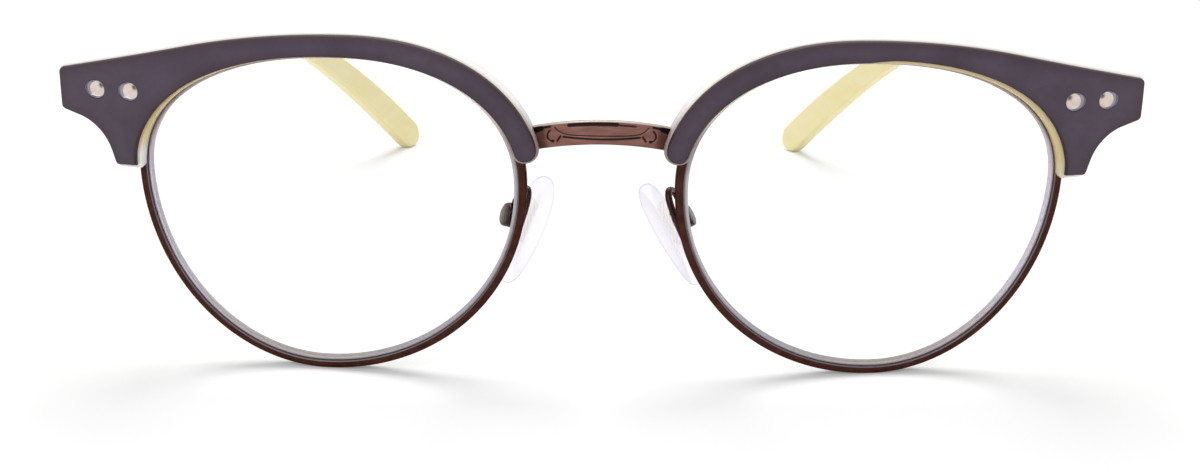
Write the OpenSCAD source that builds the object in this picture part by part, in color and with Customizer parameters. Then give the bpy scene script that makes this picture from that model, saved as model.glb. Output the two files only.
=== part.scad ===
// Browline glasses: a metal chassis with two laminated brow pieces, two clear lenses,
// rocking nose pads on wire arms, and two laminated temples that fold on riveted hinges.
// Millimetres. +X is the wearer's left, +Y runs back to the ears, +Z is up.
// The glasses stand open on their rims and temple tips, with z = 0 under them.
// Front pieces are drawn in the front's own frame: x across, y = depth, z up the front,
// and the front then leans forward by front_lean. "Depth" below is measured inwards
// from the brow's face, which is a ball of radius base_curve on each side.

/* [Front] */
// Width over both end pieces
front_w = 139.3; // [134:0.1:144]
// Forward lean of the front at its top, in degrees
front_lean = 3.5; // [0:0.5:8]
// Radius of the ball that each side's front face lies on
base_curve = 130; // [115:1:160]
// Distance of that ball's foremost point from the middle of the front
curve_x = 21.6; // [16:0.1:26]
// Height of that ball's foremost point above the rim's lowest point
curve_z = 22.8; // [18:0.1:28]
// Depth of that ball's foremost point behind the front's datum plane
curve_y = 1.7; // [0.5:0.1:3]

/* [Lenses and rims] */
// Width of a lens, bevel included
lens_w = 49.2; // [47:0.1:51]
// Height of a lens, bevel included
lens_h = 42.75; // [40:0.05:44]
// Gap between the two lenses
lens_gap = 19.9; // [18:0.1:22]
// Height of a lens's widest line above its lowest point
lens_wide_z = 25.9; // [23:0.1:27]
// How far the top of a lens lies towards the nose from its middle
lens_top_in = 2.05; // [0:0.05:4]
// How far the foot of a lens lies towards the temple from its middle
lens_foot_out = 2.45; // [0:0.05:4]
// Squareness of the upper half, 2 is an ellipse
lens_top_square = 2.2; // [2:0.05:2.4]
// Thickness of a lens
lens_t = 1.5; // [1.2:0.1:1.6]
// Thickness of a lens's bevelled edge, which the rim's groove holds
bevel_t = 0.8; // [0.5:0.1:1]
// Rim metal outside the lens's edge
rim_over = 0.6; // [0.4:0.05:0.9]
// Rim lip that laps the lens's edge
rim_lip = 0.5; // [0.3:0.05:0.7]
// Depth of the rim, front to back
rim_t = 2; // [1.8:0.1:2.4]

/* [Bridge] */
// Height of the bridge bar
bridge_h = 3.05; // [2.6:0.05:3.4]
// Thickness of the bridge bar
bridge_t = 1.6; // [1:0.1:2]
// Height of the bar's underside at the middle, above the rim's lowest point
bridge_z = 32.7; // [32:0.1:33.4]
// Depth of the bar's face at the middle, behind the datum plane
bridge_y = 3.2; // [2.8:0.1:3.8]
// Radius of the bar's bow, seen from above
bridge_bow = 20; // [18:1:24]
// Radius of the bar's arch, seen from the front
bridge_arch = 28; // [24:1:50]
// Depth of the scroll cut into the bar's face
scroll_depth = 0.12; // [0.05:0.01:0.25]
// Width of the scroll's lines
scroll_w = 0.26; // [0.15:0.01:0.4]

/* [Brow pieces] */
// Thickness of the dark facing sheet
face_t = 0.8; // [0.5:0.1:1]
// Thickness of the pale sheet behind it
back_t = 3; // [2.5:0.1:3.5]
// Thickness of the pale sheet where it laps over the rim
lap_t = 1.6; // [1.3:0.1:2]
// Height of the brow's top edge above the top of the lens
brow_rise = 2.55; // [1.8:0.05:3.2]
// How far the brow's highest point lies towards the nose from the lens's middle
brow_peak_in = 3.05; // [1:0.05:5]
// Radius of the top edge outside the peak, up to the straight run
brow_top_r = 94; // [85:1:105]
// Fall of the straight run to the end piece, in degrees
brow_fall = 12.3; // [11.5:0.1:13]
// Width of the brow over the nose side of the rim
brow_nose_w = 3.45; // [3:0.05:3.9]
// Squareness of the top edge inside the peak, 2 is an ellipse
brow_nose_square = 2.2; // [2:0.05:2.4]
// Height of the nose tip's end above the rim's lowest point
tip_z = 30.05; // [29.3:0.05:31.5]
// Height of the end piece's outer end
end_h = 5.5; // [5:0.1:5.8]
// Thickness of the end piece at its outer end, front to back
end_t = 3.5; // [3:0.1:4]
// Radius of the end piece's outer corners
end_r = 0.9; // [0.4:0.1:1.4]
// Rise of the end piece's underside towards its end, in degrees
end_rise = 15; // [8:1:18]
// Height of the lug's foot above the rim's lowest point
lug_z = 27.4; // [26.8:0.1:28]
// Width of the lug at its foot
lug_w = 3.75; // [3:0.05:4]
// Outward slope of the lug's outer side, in degrees
lug_slope = 10; // [4:1:16]
// Radius of the hollow between lug and end piece
lug_hollow_r = 5.6; // [4:0.1:6.4]
// Width of the flat milled behind the end piece, for the hinge
flat_w = 12; // [11.6:0.1:12.4]

/* [Temples] */
// Length of a temple along its middle line
temple_l = 139.6; // [132:0.1:146]
// Length of the straight run in front of the ear bend
straight_l = 76.5; // [68:0.5:82]
// Turn of the ear bend, in degrees
bend_turn = 21.5; // [16:0.5:28]
// Radius of the ear bend
bend_r = 32; // [24:1:45]
// Radius of the curved tip behind the ear bend
tip_r = 225; // [160:5:400]
// Height of a temple at its hinge end
butt_h = 5; // [4.4:0.1:5.4]
// Least height of a temple, in front of the ear bend
waist_h = 4.4; // [4.2:0.1:4.8]
// Greatest height of a temple, near its tip
paddle_h = 6.2; // [5.4:0.1:7.4]
// Thickness of the dark sheet outside
temple_face_t = 0.6; // [0.5:0.1:0.8]
// Thickness of the pale sheet inside
temple_back_t = 2.4; // [2.3:0.1:3]
// How far the dark sheet's edge stands in from the pale sheet's
temple_inset = 0.6; // [0.3:0.1:0.8]
// Radius of a temple's inward bow, on its outer face, seen from above
temple_bow = 385; // [360:1:420]
// Height of the flat wire core
core_h = 1.6; // [1:0.1:2]
// Thickness of the flat wire core
core_t = 0.9; // [0.6:0.1:1]

/* [Hinges and fixings] */
// Radius of a hinge barrel
barrel_r = 1.25; // [1.1:0.05:1.35]
// Diameter of a hinge screw
hinge_screw_d = 1.4; // [1.2:0.1:1.6]
// Height of one of the five knuckles
knuckle_h = 1; // [0.9:0.05:1.05]
// Gap from the hinge axis to the temple's inner face and the end piece's back
barrel_seat = 1.55; // [1.5:0.05:1.75]
// Thickness of the hinge plates
plate_t = 0.8; // [0.6:0.05:0.9]
// Height of the hinge plate on the temple
temple_plate_h = 3.8; // [3.4:0.1:4]
// Length of the hinge plate on the temple, behind the hinge axis
temple_plate_l = 10.4; // [9.5:0.1:12]
// Distance of the outer front rivet from the end piece's outer end
rivet_in = 5.75; // [5.4:0.05:6.1]
// Distance of the front rivets below the top of the end piece's outer end
rivet_drop = 2.5; // [2.4:0.05:2.8]
// Distance between the two front rivets
rivet_pitch = 4.7; // [4.2:0.1:5]
// Diameter of a front rivet's head
rivet_head_d = 2.3; // [2:0.1:2.4]
// Diameter of a rivet's shank
rivet_shank_d = 1.4; // [1.2:0.1:1.6]
// Diameter of the hollow in a front rivet's head
rivet_dish_d = 1.9; // [1.6:0.1:1.9]
// Depth of that hollow
rivet_dish = 0.6; // [0.3:0.1:0.8]
// Distance between the two temple rivets
temple_rivet_pitch = 4.4; // [4:0.1:5]
// Diameter of a brow screw
brow_screw_d = 1.2; // [1:0.1:1.4]
// Length of a brow screw inside the pale sheet
brow_screw_l = 2; // [1.4:0.1:2.2]
// Height of a closing block, both halves
block_h = 4.2; // [3.6:0.1:4.4]
// Width of a closing block
block_w = 2.4; // [2.2:0.1:2.8]
// Depth of a closing block behind the rim
block_t = 2.2; // [2:0.1:2.6]
// Diameter of a closing screw
closing_screw_d = 1.2; // [1:0.1:1.3]

/* [Nose pads] */
// Length of a nose pad
pad_l = 16; // [13:0.5:17]
// Width of a nose pad
pad_w = 7.6; // [6.5:0.1:8.5]
// Thickness of a nose pad
pad_t = 1.9; // [1.6:0.1:2.4]
// How far the pad's middle hangs below its pivot
pad_drop = 1.6; // [1:0.1:2.4]
// Distance of the left pad's pivot from the middle of the front
pad_left_x = 10.9; // [10.5:0.1:12.2]
// Distance of the right pad's pivot from the middle of the front
pad_right_x = 11.6; // [10.5:0.1:12.2]
// Lean of the left pad's top towards the nose, in degrees
pad_left_lean = 30; // [16:1:32]
// Lean of the right pad's top towards the nose, in degrees
pad_right_lean = 22; // [16:1:32]
// Outward turn of the left pad's rear edge, in degrees
pad_left_splay = 9; // [5:1:28]
// Outward turn of the right pad's rear edge, in degrees
pad_right_splay = 20; // [5:1:28]
// Height of the pads' pivots above the rim's lowest point
pad_z = 20.4; // [19:0.1:22]
// Depth of the pads' pivots behind the datum plane
pad_y = 11.6; // [11:0.1:13]
// Diameter of the pad arm's wire
wire_d = 0.95; // [0.8:0.05:1.1]
// Rise of the wire's bend above the pivot
wire_rise = 4.4; // [3.8:0.1:5]
// Radius of the round box that holds the pad
box_r = 1.6; // [1.5:0.05:1.8]
// Diameter of the pad screw
pad_screw_d = 0.8; // [0.7:0.05:0.9]

/* [Fits] */
// Gap between pieces that are fixed together
seat = 0.02; // [0.01:0.01:0.05]
// Radial gap of a pin or screw in its bore
bore_gap = 0.03; // [0.02:0.01:0.05]
// Gap between neighbouring knuckles
knuckle_gap = 0.05; // [0.03:0.01:0.1]
// Gap between an open temple and the end piece
butt_gap = 0.06; // [0.04:0.01:0.15]

/* [Hidden] */
left = 1;
right = -1;

dark = [0.33, 0.29, 0.36];
cream = [0.93, 0.87, 0.70];
bronze = [0.40, 0.27, 0.23];
silver = [0.78, 0.76, 0.76];
clear = [0.88, 0.90, 0.95, 0.35];

ball_fn = 200;
bow_fn = 256;
round_fn = 48;
eye_points = 84;
// How far outlines are carried to be trimmed, and how far a cut runs past what it cuts
reach = 60;
past = 1;

// Depths of the layers, measured inwards from the brow's face
rim_depth = face_t + lap_t;
rim_back = rim_depth + rim_t;
brow_back_depth = face_t + back_t;
lens_depth = rim_depth + (rim_t - lens_t) / 2;
bevel_depth = rim_depth + (rim_t - bevel_t) / 2;
ball_centre = [curve_x, curve_y + base_curve, curve_z];

// The eye shape: four superellipse quarters round the lens's widest line
eye_x = lens_gap / 2 + lens_w / 2;
eye_z = rim_over + lens_wide_z;
function apex(up) = up ? eye_x - lens_top_in : eye_x + lens_foot_out;
function half_height(up) = up ? lens_h - lens_wide_z : lens_wide_z;
function squareness(up) = up ? lens_top_square : 2;
function half_width(up, out) = lens_w / 2 + (out ? eye_x - apex(up) : apex(up) - eye_x);
function eye_point(a, grow) =
    let (up = sin(a) >= 0, out = cos(a) >= 0, p = 2 / squareness(up))
    [apex(up) + sign(cos(a)) * (half_width(up, out) + grow) * pow(abs(cos(a)), p),
     eye_z + sign(sin(a)) * (half_height(up) + grow) * pow(abs(sin(a)), p)];
function eye_shape(grow) = [for (i = [0:eye_points - 1]) eye_point(360 * i / eye_points, grow)];
function eye_angle(z, grow) =
    let (up = z >= eye_z, f = abs(z - eye_z) / (half_height(up) + grow))
    (up ? 1 : -1) * asin(pow(f, squareness(up) / 2));

// Depth below the datum plane of a point of the front, on the ball at a layer depth
function ball_y(x, z, depth) =
    ball_centre[1] - sqrt(pow(base_curve - depth, 2) - pow(x - curve_x, 2) - pow(z - curve_z, 2));

// Height and setback of a front point once the front leans and stands on its rims
foot_x = apex(false);
rest_z = ball_y(foot_x, 0, rim_depth) * sin(front_lean);
function stood_y(y, z) = y * cos(front_lean) - z * sin(front_lean);
function stood_z(y, z) = y * sin(front_lean) + z * cos(front_lean) - rest_z;

// Corner of an outline rounded to a radius, as points from one side to the other
function unit(v) = v / norm(v);
function corner(a, p, b, r, n) =
    let (d1 = unit(a - p), d2 = unit(b - p), half = acos(d1 * d2) / 2,
         c = p + unit(d1 + d2) * r / sin(half),
         s = p + d1 * r / tan(half) - c, e = p + d2 * r / tan(half) - c,
         a1 = atan2(s[1], s[0]), turn = atan2(e[1], e[0]) - a1,
         sweep = turn > 180 ? turn - 360 : turn < -180 ? turn + 360 : turn)
    [for (i = [0:n]) c + r * [cos(a1 + sweep * i / n), sin(a1 + sweep * i / n)]];

// The brow's outline, from the end piece over the top to the nose tip and back
end_x = front_w / 2;
brow_peak_x = eye_x - brow_peak_in;
peak_z = rim_over + lens_h + brow_rise;
nose_a = brow_peak_x - (lens_gap / 2 + rim_lip - brow_nose_w);
nose_b = peak_z - eye_z;
run_x = brow_peak_x + brow_top_r * sin(brow_fall);
run_z = peak_z - brow_top_r * (1 - cos(brow_fall));
end_top = run_z - (end_x - run_x) * tan(brow_fall);
end_mid = end_top - end_h / 2;
rivet_at = end_top - rivet_drop;
opening = -rim_lip;
tip_angle = eye_angle(tip_z, opening);
lug_angle = eye_angle(lug_z, opening);
tip_in = eye_point(180 - tip_angle, opening);
lug_in = eye_point(lug_angle, opening);
lug_out = [lug_in[0] + lug_w, lug_z];
lug_in_r = 0.6;
lug_out_r = 1;
nose_angle = asin(pow((tip_z - eye_z) / nose_b, brow_nose_square / 2));
function nose_point(a) =
    [brow_peak_x - nose_a * pow(abs(cos(a)), 2 / brow_nose_square),
     eye_z + nose_b * pow(abs(sin(a)), 2 / brow_nose_square)];
tip_out = nose_point(nose_angle);
tip_share = 0.46;
tip_round = (tip_in[0] - tip_out[0]) * tip_share;
tip_from = nose_angle + 8;
hollow = let (t = tan(end_rise), s = tan(lug_slope), dx = end_x - lug_out[0],
              dz = end_top - end_h - lug_z, k = (dz - dx * t) / (1 - s * t))
    [lug_out[0] + k * s, lug_z + k];
// The hollow's radius, no more than the lug's height leaves room for
hollow_half = (90 + lug_slope + end_rise) / 2;
hollow_r = min(lug_hollow_r, (norm(hollow - lug_out) - lug_out_r) * tan(hollow_half));
brow_shape = concat(
    corner([end_x, end_mid], [end_x, end_top], [run_x, run_z], end_r, 5),
    [for (i = [0:8]) let (a = brow_fall * (1 - i / 8))
        [brow_peak_x + brow_top_r * sin(a), peak_z - brow_top_r * (1 - cos(a))]],
    [for (i = [1:17]) nose_point(90 + (tip_from - 90) * i / 17)],
    corner(nose_point(tip_from), tip_out, tip_in, tip_round, 6),
    corner(tip_out, tip_in, eye_point(176 - tip_angle, opening), tip_round, 6),
    [for (i = [0:40]) eye_point(174 - tip_angle + (lug_angle + tip_angle - 171) * i / 40, opening)],
    corner(eye_point(lug_angle + 3, opening), lug_in, lug_out, lug_in_r, 3),
    corner(lug_in, lug_out, hollow, lug_out_r, 5),
    corner(lug_out, hollow, [end_x, end_top - end_h], hollow_r, 10),
    corner(hollow, [end_x, end_top - end_h], [end_x, end_mid], end_r, 5)
);

// The hinge: its axis is upright, behind the end piece and inside the temple
butt_y = stood_y(ball_y(end_x, rivet_at, 0), rivet_at) + end_t;
temple_setback = 0.1;
temple_out = end_x - temple_setback;
temple_t = temple_face_t + temple_back_t;
temple_in = temple_out - temple_t;
hinge_x = temple_in - barrel_seat;
hinge_y = butt_y + barrel_seat;
hinge_z = stood_z(ball_y(end_x, rivet_at, 0), rivet_at);
knuckle_pitch = knuckle_h + knuckle_gap;
hinge_h = 5 * knuckle_h + 4 * knuckle_gap;
flat_x = end_x - flat_w;

// The temple's middle line: a straight run, the ear bend, then the curved tip
bend_l = bend_r * bend_turn * PI / 180;
tip_l = temple_l - straight_l - bend_l;
function heading(s) =
    s < straight_l ? 0 : s < straight_l + bend_l ? (s - straight_l) / bend_r * 180 / PI
    : bend_turn + (s - straight_l - bend_l) / tip_r * 180 / PI;
function middle(s) =
    s < straight_l ? [s, 0]
    : s < straight_l + bend_l
        ? [straight_l + bend_r * sin(heading(s)), -bend_r * (1 - cos(heading(s)))]
        : [straight_l + bend_r * sin(bend_turn) + tip_r * (sin(heading(s)) - sin(bend_turn)),
           -bend_r * (1 - cos(bend_turn)) - tip_r * (cos(bend_turn) - cos(heading(s)))];
// Half height along the middle line: a taper to the waist, a swell to the paddle
function swell(s) = let (t = max(0, min(1, (s - straight_l) / (tip_l + bend_l) * 1.15))) t * t * (3 - 2 * t);
function half_h(s) =
    (s < straight_l ? butt_h + (waist_h - butt_h) * s / straight_l
                    : waist_h + (paddle_h - waist_h) * swell(s)) / 2;
function side_point(s, h) = middle(s) + h * [sin(heading(s)), cos(heading(s))];
cap_l = paddle_h * 0.52;
stations = concat([for (i = [0:5]) straight_l * i / 6], [for (i = [0:7]) straight_l + bend_l * i / 8],
                  [for (i = [0:15]) straight_l + bend_l + (tip_l - cap_l) * i / 16]);
cap_angles = [for (i = [0:9]) i * 10];
function cap_s(a) = temple_l - cap_l * (1 - sin(a));
function cap_point(a, inset, side) =
    side_point(cap_s(a) - inset * sin(a), side * (half_h(cap_s(a)) - inset) * cos(a));
function temple_shape(inset) = concat(
    [for (s = stations) side_point(s, half_h(s) - inset)],
    [for (a = cap_angles) cap_point(a, inset, 1)],
    [for (i = [8:-1:0]) cap_point(i * 10, inset, -1)],
    [for (i = [len(stations) - 1:-1:0]) side_point(stations[i], inset - half_h(stations[i]))]
);
temple_side = temple_shape(0);
// Slope that lets the tip down to the surface that the rims stand on
function sloped(p, a) = [p[0] * cos(a) + p[1] * sin(a), p[1] * cos(a) - p[0] * sin(a)];
function lowest(a) = min([for (p = temple_side) sloped(p, a)[1]]);
function settle(a, n) = n == 0 ? a : settle(a + atan((lowest(a) + hinge_z) / temple_l), n - 1);
temple_slope = settle(3, 12);
temple_start = butt_y + butt_gap;
back_y = temple_start + max([for (p = temple_side) sloped(p, temple_slope)[0]]);
front_y = min(stood_y(bridge_y, bridge_z + bridge_h),
              stood_y(ball_y(brow_peak_x, peak_z, 0), peak_z));
middle_y = (front_y + back_y) / 2;

// The pad's frame: x away from the nose, y back along its width, z up its length
function pad_x(side) = side == left ? pad_left_x : pad_right_x;
function pad_lean(side) = side == left ? pad_left_lean : pad_right_lean;
function pad_splay(side) = side == left ? pad_left_splay : pad_right_splay;
function from_pad(side, p) =
    let (s = pad_splay(side), f = pad_lean(side),
         x = p[0] * cos(s) + p[1] * sin(s), y = p[1] * cos(s) - p[0] * sin(s))
    [pad_x(side) + x * cos(f) - p[2] * sin(f), pad_y + y, pad_z + x * sin(f) + p[2] * cos(f)];
pad_face = 2.6;
tongue_t = 0.8;
tongue_r = 0.75;
tongue_gap = 0.05;
insert_t = 0.6;
insert_w = 2.6;
insert_l = 5.8;
slot_w = tongue_t + 2 * tongue_gap;
slot_back = 0.9;
box_front = 1.2;
box_back = 1.4;

// Places on the stood front
module placed() { translate([0, -middle_y, 0]) children(); }
module mirrored(side) { mirror([side == right ? 1 : 0, 0, 0]) children(); }
module on_front(side) {
    placed() mirrored(side) translate([0, 0, -rest_z]) rotate([front_lean, 0, 0]) children();
}
module on_hinge(side) { placed() mirrored(side) translate([hinge_x, hinge_y, hinge_z]) children(); }
module on_temple(side) { placed() mirrored(side) children(); }
module on_pad(side) {
    on_front(side) translate([pad_x(side), pad_y, pad_z])
        rotate([0, -pad_lean(side), 0]) rotate([0, 0, -pad_splay(side)]) children();
}

// A flat outline of the front carried straight back, and the curved layers that trim it
module front_prism(points) {
    rotate([90, 0, 0]) translate([0, 0, -reach]) linear_extrude(2 * reach) polygon(points);
}
module ball(depth) { translate(ball_centre) sphere(r = base_curve - depth, $fn = ball_fn); }
module layer(depth, t) {
    difference() {
        ball(depth);
        ball(depth + t);
    }
}
// A child that stands square to the ball at a front point, with its y along the depth
module square_to_ball(p) {
    dx = (p[0] - curve_x) / base_curve;
    dz = (p[1] - curve_z) / base_curve;
    lift = asin(dz);
    translate(ball_centre) rotate([0, 0, asin(dx / cos(lift))]) rotate([-lift, 0, 0])
        translate([0, -base_curve, 0]) children();
}
module cylinder_up(d, z0, z1) {
    translate([0, 0, z0]) cylinder(d = d, h = z1 - z0, $fn = round_fn);
}
module pin_back(d, y0, y1) {
    rotate([-90, 0, 0]) cylinder_up(d, y0, y1);
}
// World axes inside the leaning front
module upright() { rotate([-front_lean, 0, 0]) translate([0, 0, rest_z]) children(); }

// A line of even width along points of the front, as an outline
function line_normal(p, i) =
    let (a = p[max(0, i - 1)], b = p[min(len(p) - 1, i + 1)], d = unit(b - a)) [-d[1], d[0]];
function line_shape(p, w) = concat(
    [for (i = [0:len(p) - 1]) p[i] + line_normal(p, i) * w / 2],
    [for (i = [len(p) - 1:-1:0]) p[i] - line_normal(p, i) * w / 2]
);

// Bridge: a flat bar, arched and bowed, that laps behind the rims at both ends.
// A scroll is cut into its face: a slot, two sagging lines, and a hook and a stub at each end.
bridge_lap = 2.4;
bridge_end = lens_gap / 2 + bridge_lap;
function bridge_drop(x) = bridge_arch - sqrt(bridge_arch * bridge_arch - x * x);
function on_bridge(x, z) = [x, bridge_z + z - bridge_drop(x)];
function bridge_shape(grow) = concat(
    [for (i = [-8:8]) on_bridge(bridge_end * i / 8, -grow)],
    [for (i = [8:-1:-8]) on_bridge(bridge_end * i / 8, bridge_h + grow)]
);
module bridge_bar(grow) {
    intersection() {
        front_prism(bridge_shape(grow));
        translate([0, bridge_y + bridge_bow, bridge_z]) difference() {
            cylinder(r = bridge_bow + grow, h = 4 * bridge_h, center = true, $fn = ball_fn);
            cylinder(r = bridge_bow - bridge_t - grow, h = 5 * bridge_h, center = true, $fn = ball_fn);
        }
        translate([-reach, 0, 0]) cube([2 * reach, bridge_y + bridge_bow, reach]);
    }
}
// The scroll: half lengths of its lines, and heights as shares of the bar's height
slot_half = 3.6;
upper_half = 5.8;
lower_half = 4.7;
hook_x = 6;
hook_z = bridge_h * 0.51;
hook_r = bridge_h * 0.26;
stub_x = [5.1, 5.5];
stub_z = [bridge_h * 0.43, bridge_h * 0.25];
function upper_line(x) = 0.36 + 0.18 * pow(x / upper_half, 2) + 0.29 * pow(x / upper_half, 8);
function lower_line(x) = 0.22 + 0.17 * pow(x / lower_half, 2);
module scroll_line(points, w) { front_prism(line_shape(points, w)); }
module scroll() {
    scroll_line([for (i = [-4:4]) on_bridge(slot_half * i / 4, bridge_h * 0.84)], scroll_w * 1.5);
    scroll_line([for (i = [-9:9]) let (x = upper_half * i / 9) on_bridge(x, bridge_h * upper_line(x))],
                scroll_w * 0.6);
    scroll_line([for (i = [-6:6]) let (x = lower_half * i / 6) on_bridge(x, bridge_h * lower_line(x))],
                scroll_w);
    for (s = [left, right]) {
        scroll_line([for (a = [-86:24:58])
            on_bridge(s * (hook_x + hook_r * cos(a)), hook_z + hook_r * sin(a))], scroll_w * 0.8);
        scroll_line([for (i = [0, 1]) on_bridge(s * stub_x[i], stub_z[i])], scroll_w * 0.8);
    }
}
module rim_space(grow) {
    intersection() {
        front_prism(eye_shape(rim_over + grow));
        layer(rim_depth - grow, rim_t + 2 * grow);
    }
}
module bridge() {
    color(bronze) on_front(left) difference() {
        bridge_bar(0);
        for (s = [left, right]) mirrored(s) {
            rim_space(seat);
            front_prism(eye_shape(opening));
        }
        intersection() {
            scroll();
            translate([0, bridge_y + bridge_bow, bridge_z]) difference() {
                cylinder(r = bridge_bow + past, h = 3 * bridge_h, center = true, $fn = ball_fn);
                cylinder(r = bridge_bow - scroll_depth, h = 4 * bridge_h, center = true, $fn = ball_fn);
            }
            translate([-reach, 0, 0]) cube([2 * reach, bridge_y + bridge_bow, reach]);
        }
    }
}

// Eyewire: a grooved ring round the lens, split at the closing block, with two ears
// behind the brow that take the brow screws
ear_r = 1.35;
ear_out = 0.9;
ear_angles = [140, 52];
split = 0.1;
block_z = lug_z + 3;
block_angle = eye_angle(block_z, rim_over);
block_seat = eye_point(block_angle, rim_over);
rim_run = eye_point(block_angle + 2, rim_over) - eye_point(block_angle - 2, rim_over);
// A child at the closing block: x outwards from the rim's outer edge, z along the rim
module at_block() {
    translate([block_seat[0], 0, block_seat[1]]) rotate([0, atan2(rim_run[0], rim_run[1]), 0]) children();
}
function ear_at(a) = eye_point(a, rim_over + ear_out);
module eyewire(side) {
    color(bronze) on_front(side) difference() {
        union() {
            intersection() {
                difference() {
                    front_prism(eye_shape(rim_over));
                    front_prism(eye_shape(opening));
                }
                layer(rim_depth, rim_t);
            }
            for (a = ear_angles) square_to_ball(ear_at(a))
                pin_back(2 * ear_r, brow_back_depth + seat, rim_back);
        }
        intersection() {
            front_prism(eye_shape(seat));
            layer(bevel_depth - seat, bevel_t + 2 * seat);
        }
        for (a = ear_angles)
            square_to_ball(ear_at(a)) pin_back(brow_screw_d + 2 * bore_gap, rim_depth, rim_back + past);
        at_block() translate([-2 * (rim_over + rim_lip), 0, -split / 2])
            cube([3 * (rim_over + rim_lip), reach, split]);
    }
}

// Closing block: two barrels on the rim's outer rear corner, one each side of the split,
// drawn together by a screw that runs along the rim
block_lap = 0.1;
block_clear = 0.1;
block_depth = brow_back_depth + block_clear;
block_mid_x = block_w / 2 - block_lap;
block_mid_y = ball_y(block_seat[0] + block_mid_x, block_seat[1], block_depth + block_t / 2);
module closing_block(side) {
    color(bronze) on_front(side) for (z = [split / 2, -block_h / 2]) difference() {
        intersection() {
            at_block() translate([-block_lap, 0, z]) cube([block_w, reach, (block_h - split) / 2]);
            layer(block_depth, block_t);
        }
        rim_space(seat);
        at_block() translate([block_mid_x, block_mid_y, 0])
            cylinder_up(closing_screw_d + 2 * bore_gap, -block_h, block_h);
    }
}
head_t = 0.5;
head_over = 0.7;
module closing_screw(side) {
    color(silver) on_front(side) at_block() translate([block_mid_x, block_mid_y, 0]) {
        cylinder_up(closing_screw_d, -block_h / 2 - head_t / 2, block_h / 2);
        cylinder_up(closing_screw_d + head_over, -block_h / 2 - seat - head_t, -block_h / 2 - seat);
    }
}

// Lens: a curved clear disc whose bevelled edge sits in the rim's groove
module lens(side) {
    color(clear) on_front(side) union() {
        intersection() {
            front_prism(eye_shape(opening - seat));
            layer(lens_depth, lens_t);
        }
        intersection() {
            front_prism(eye_shape(0));
            layer(bevel_depth, bevel_t);
        }
    }
}

// Front rivets stand square to the hinge's plate, in the world's own axes
rivet_grip = 1;
rivet_head_y = butt_y - plate_t - rivet_grip;
rivet_x = end_x - rivet_in;
function rivet_face_y(x) = stood_y(ball_y(x, rivet_at, 0), rivet_at);
rivet_xs = [rivet_x, rivet_x - rivet_pitch];
module rivet_bodies(grow) {
    for (x = rivet_xs) upright() translate([x, 0, hinge_z]) {
        pin_back(rivet_head_d + 2 * grow, 0, rivet_head_y + grow);
        pin_back(rivet_shank_d + 2 * grow, rivet_head_y - past, butt_y - seat + 2 * grow);
    }
}

// Brow facing: the dark sheet on the front
module brow_face(side) {
    color(dark) on_front(side) difference() {
        intersection() {
            front_prism(brow_shape);
            layer(0, face_t);
        }
        rivet_bodies(bore_gap);
    }
}

// Brow body: the pale sheet behind the facing. It laps over the rim in a rebate, takes
// the bridge's end in a notch, and is thick and flat behind the end piece for the hinge.
plate_margin = 1.6;
plate_lip = 0.2;
plate_x = rivet_x - rivet_pitch - plate_margin;
plate_end_x = hinge_x + barrel_r + plate_lip;
module hinge_plate_space(grow) {
    translate([plate_x - grow, butt_y - plate_t - grow, hinge_z - hinge_h / 2 - grow])
        cube([plate_end_x - plate_x + 2 * grow, plate_t + 2 * grow, hinge_h + 2 * grow]);
}
shoulder = [4, 5.2];
plate_under = 0.7;
module end_block() {
    intersection() {
        front_prism(brow_shape);
        ball(face_t);
        upright() translate([0, 0, hinge_z - hinge_h / 2 - plate_under]) linear_extrude(reach)
            polygon([[flat_x - shoulder[0], 0], [end_x + past, 0], [end_x + past, butt_y],
                     [flat_x, butt_y], [flat_x - shoulder[0], butt_y - shoulder[1]]]);
    }
}
module brow_back(side) {
    color(cream) on_front(side) difference() {
        union() {
            intersection() {
                front_prism(brow_shape);
                layer(face_t, back_t);
            }
            end_block();
        }
        intersection() {
            front_prism(eye_shape(rim_over + seat));
            ball(rim_depth - seat);
        }
        bridge_bar(seat);
        for (a = ear_angles)
            square_to_ball(ear_at(a))
                pin_back(brow_screw_d + 2 * bore_gap, brow_back_depth - brow_screw_l - seat,
                         rim_back + past);
        rivet_bodies(bore_gap);
        upright() {
            hinge_plate_space(seat);
            translate([0, butt_y, 0]) cube([2 * reach, reach, reach]);
        }
    }
}

// Brow screws: one through each ear of the eyewire into the pale sheet
module brow_screws(side) {
    color(silver) on_front(side) for (a = ear_angles) square_to_ball(ear_at(a)) {
        pin_back(brow_screw_d, brow_back_depth - brow_screw_l, rim_back + head_t / 2);
        pin_back(brow_screw_d + head_over, rim_back + seat, rim_back + head_t);
    }
}

// Hinge: five knuckles on one upright screw, three on the front and two on the temple
function knuckle_z(i) = -hinge_h / 2 + i * knuckle_pitch;
web = barrel_r * 0.8;
module knuckle(i) { cylinder_up(2 * barrel_r, knuckle_z(i), knuckle_z(i) + knuckle_h); }
module hinge_bore() { cylinder_up(hinge_screw_d + 2 * bore_gap, -hinge_h, hinge_h); }
module hinge_front(side) {
    color(silver) difference() {
        union() {
            on_temple(side) hinge_plate_space(0);
            on_hinge(side) for (i = [0, 2, 4]) {
                knuckle(i);
                translate([-web, -barrel_seat - plate_t / 2, knuckle_z(i)])
                    cube([2 * web, barrel_seat + plate_t / 2, knuckle_h]);
            }
        }
        on_hinge(side) hinge_bore();
        on_temple(side) for (x = rivet_xs) translate([x, 0, hinge_z])
            pin_back(rivet_shank_d + 2 * bore_gap, butt_y - 2 * plate_t, butt_y);
    }
}
module front_rivets(side) {
    color(silver) on_front(side) difference() {
        intersection() {
            rivet_bodies(0);
            ball(seat);
        }
        for (x = rivet_xs) upright() translate([x, 0, hinge_z])
            pin_back(rivet_dish_d, -past, rivet_face_y(x) + rivet_dish);
    }
}
driver_w = 0.3;
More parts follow.
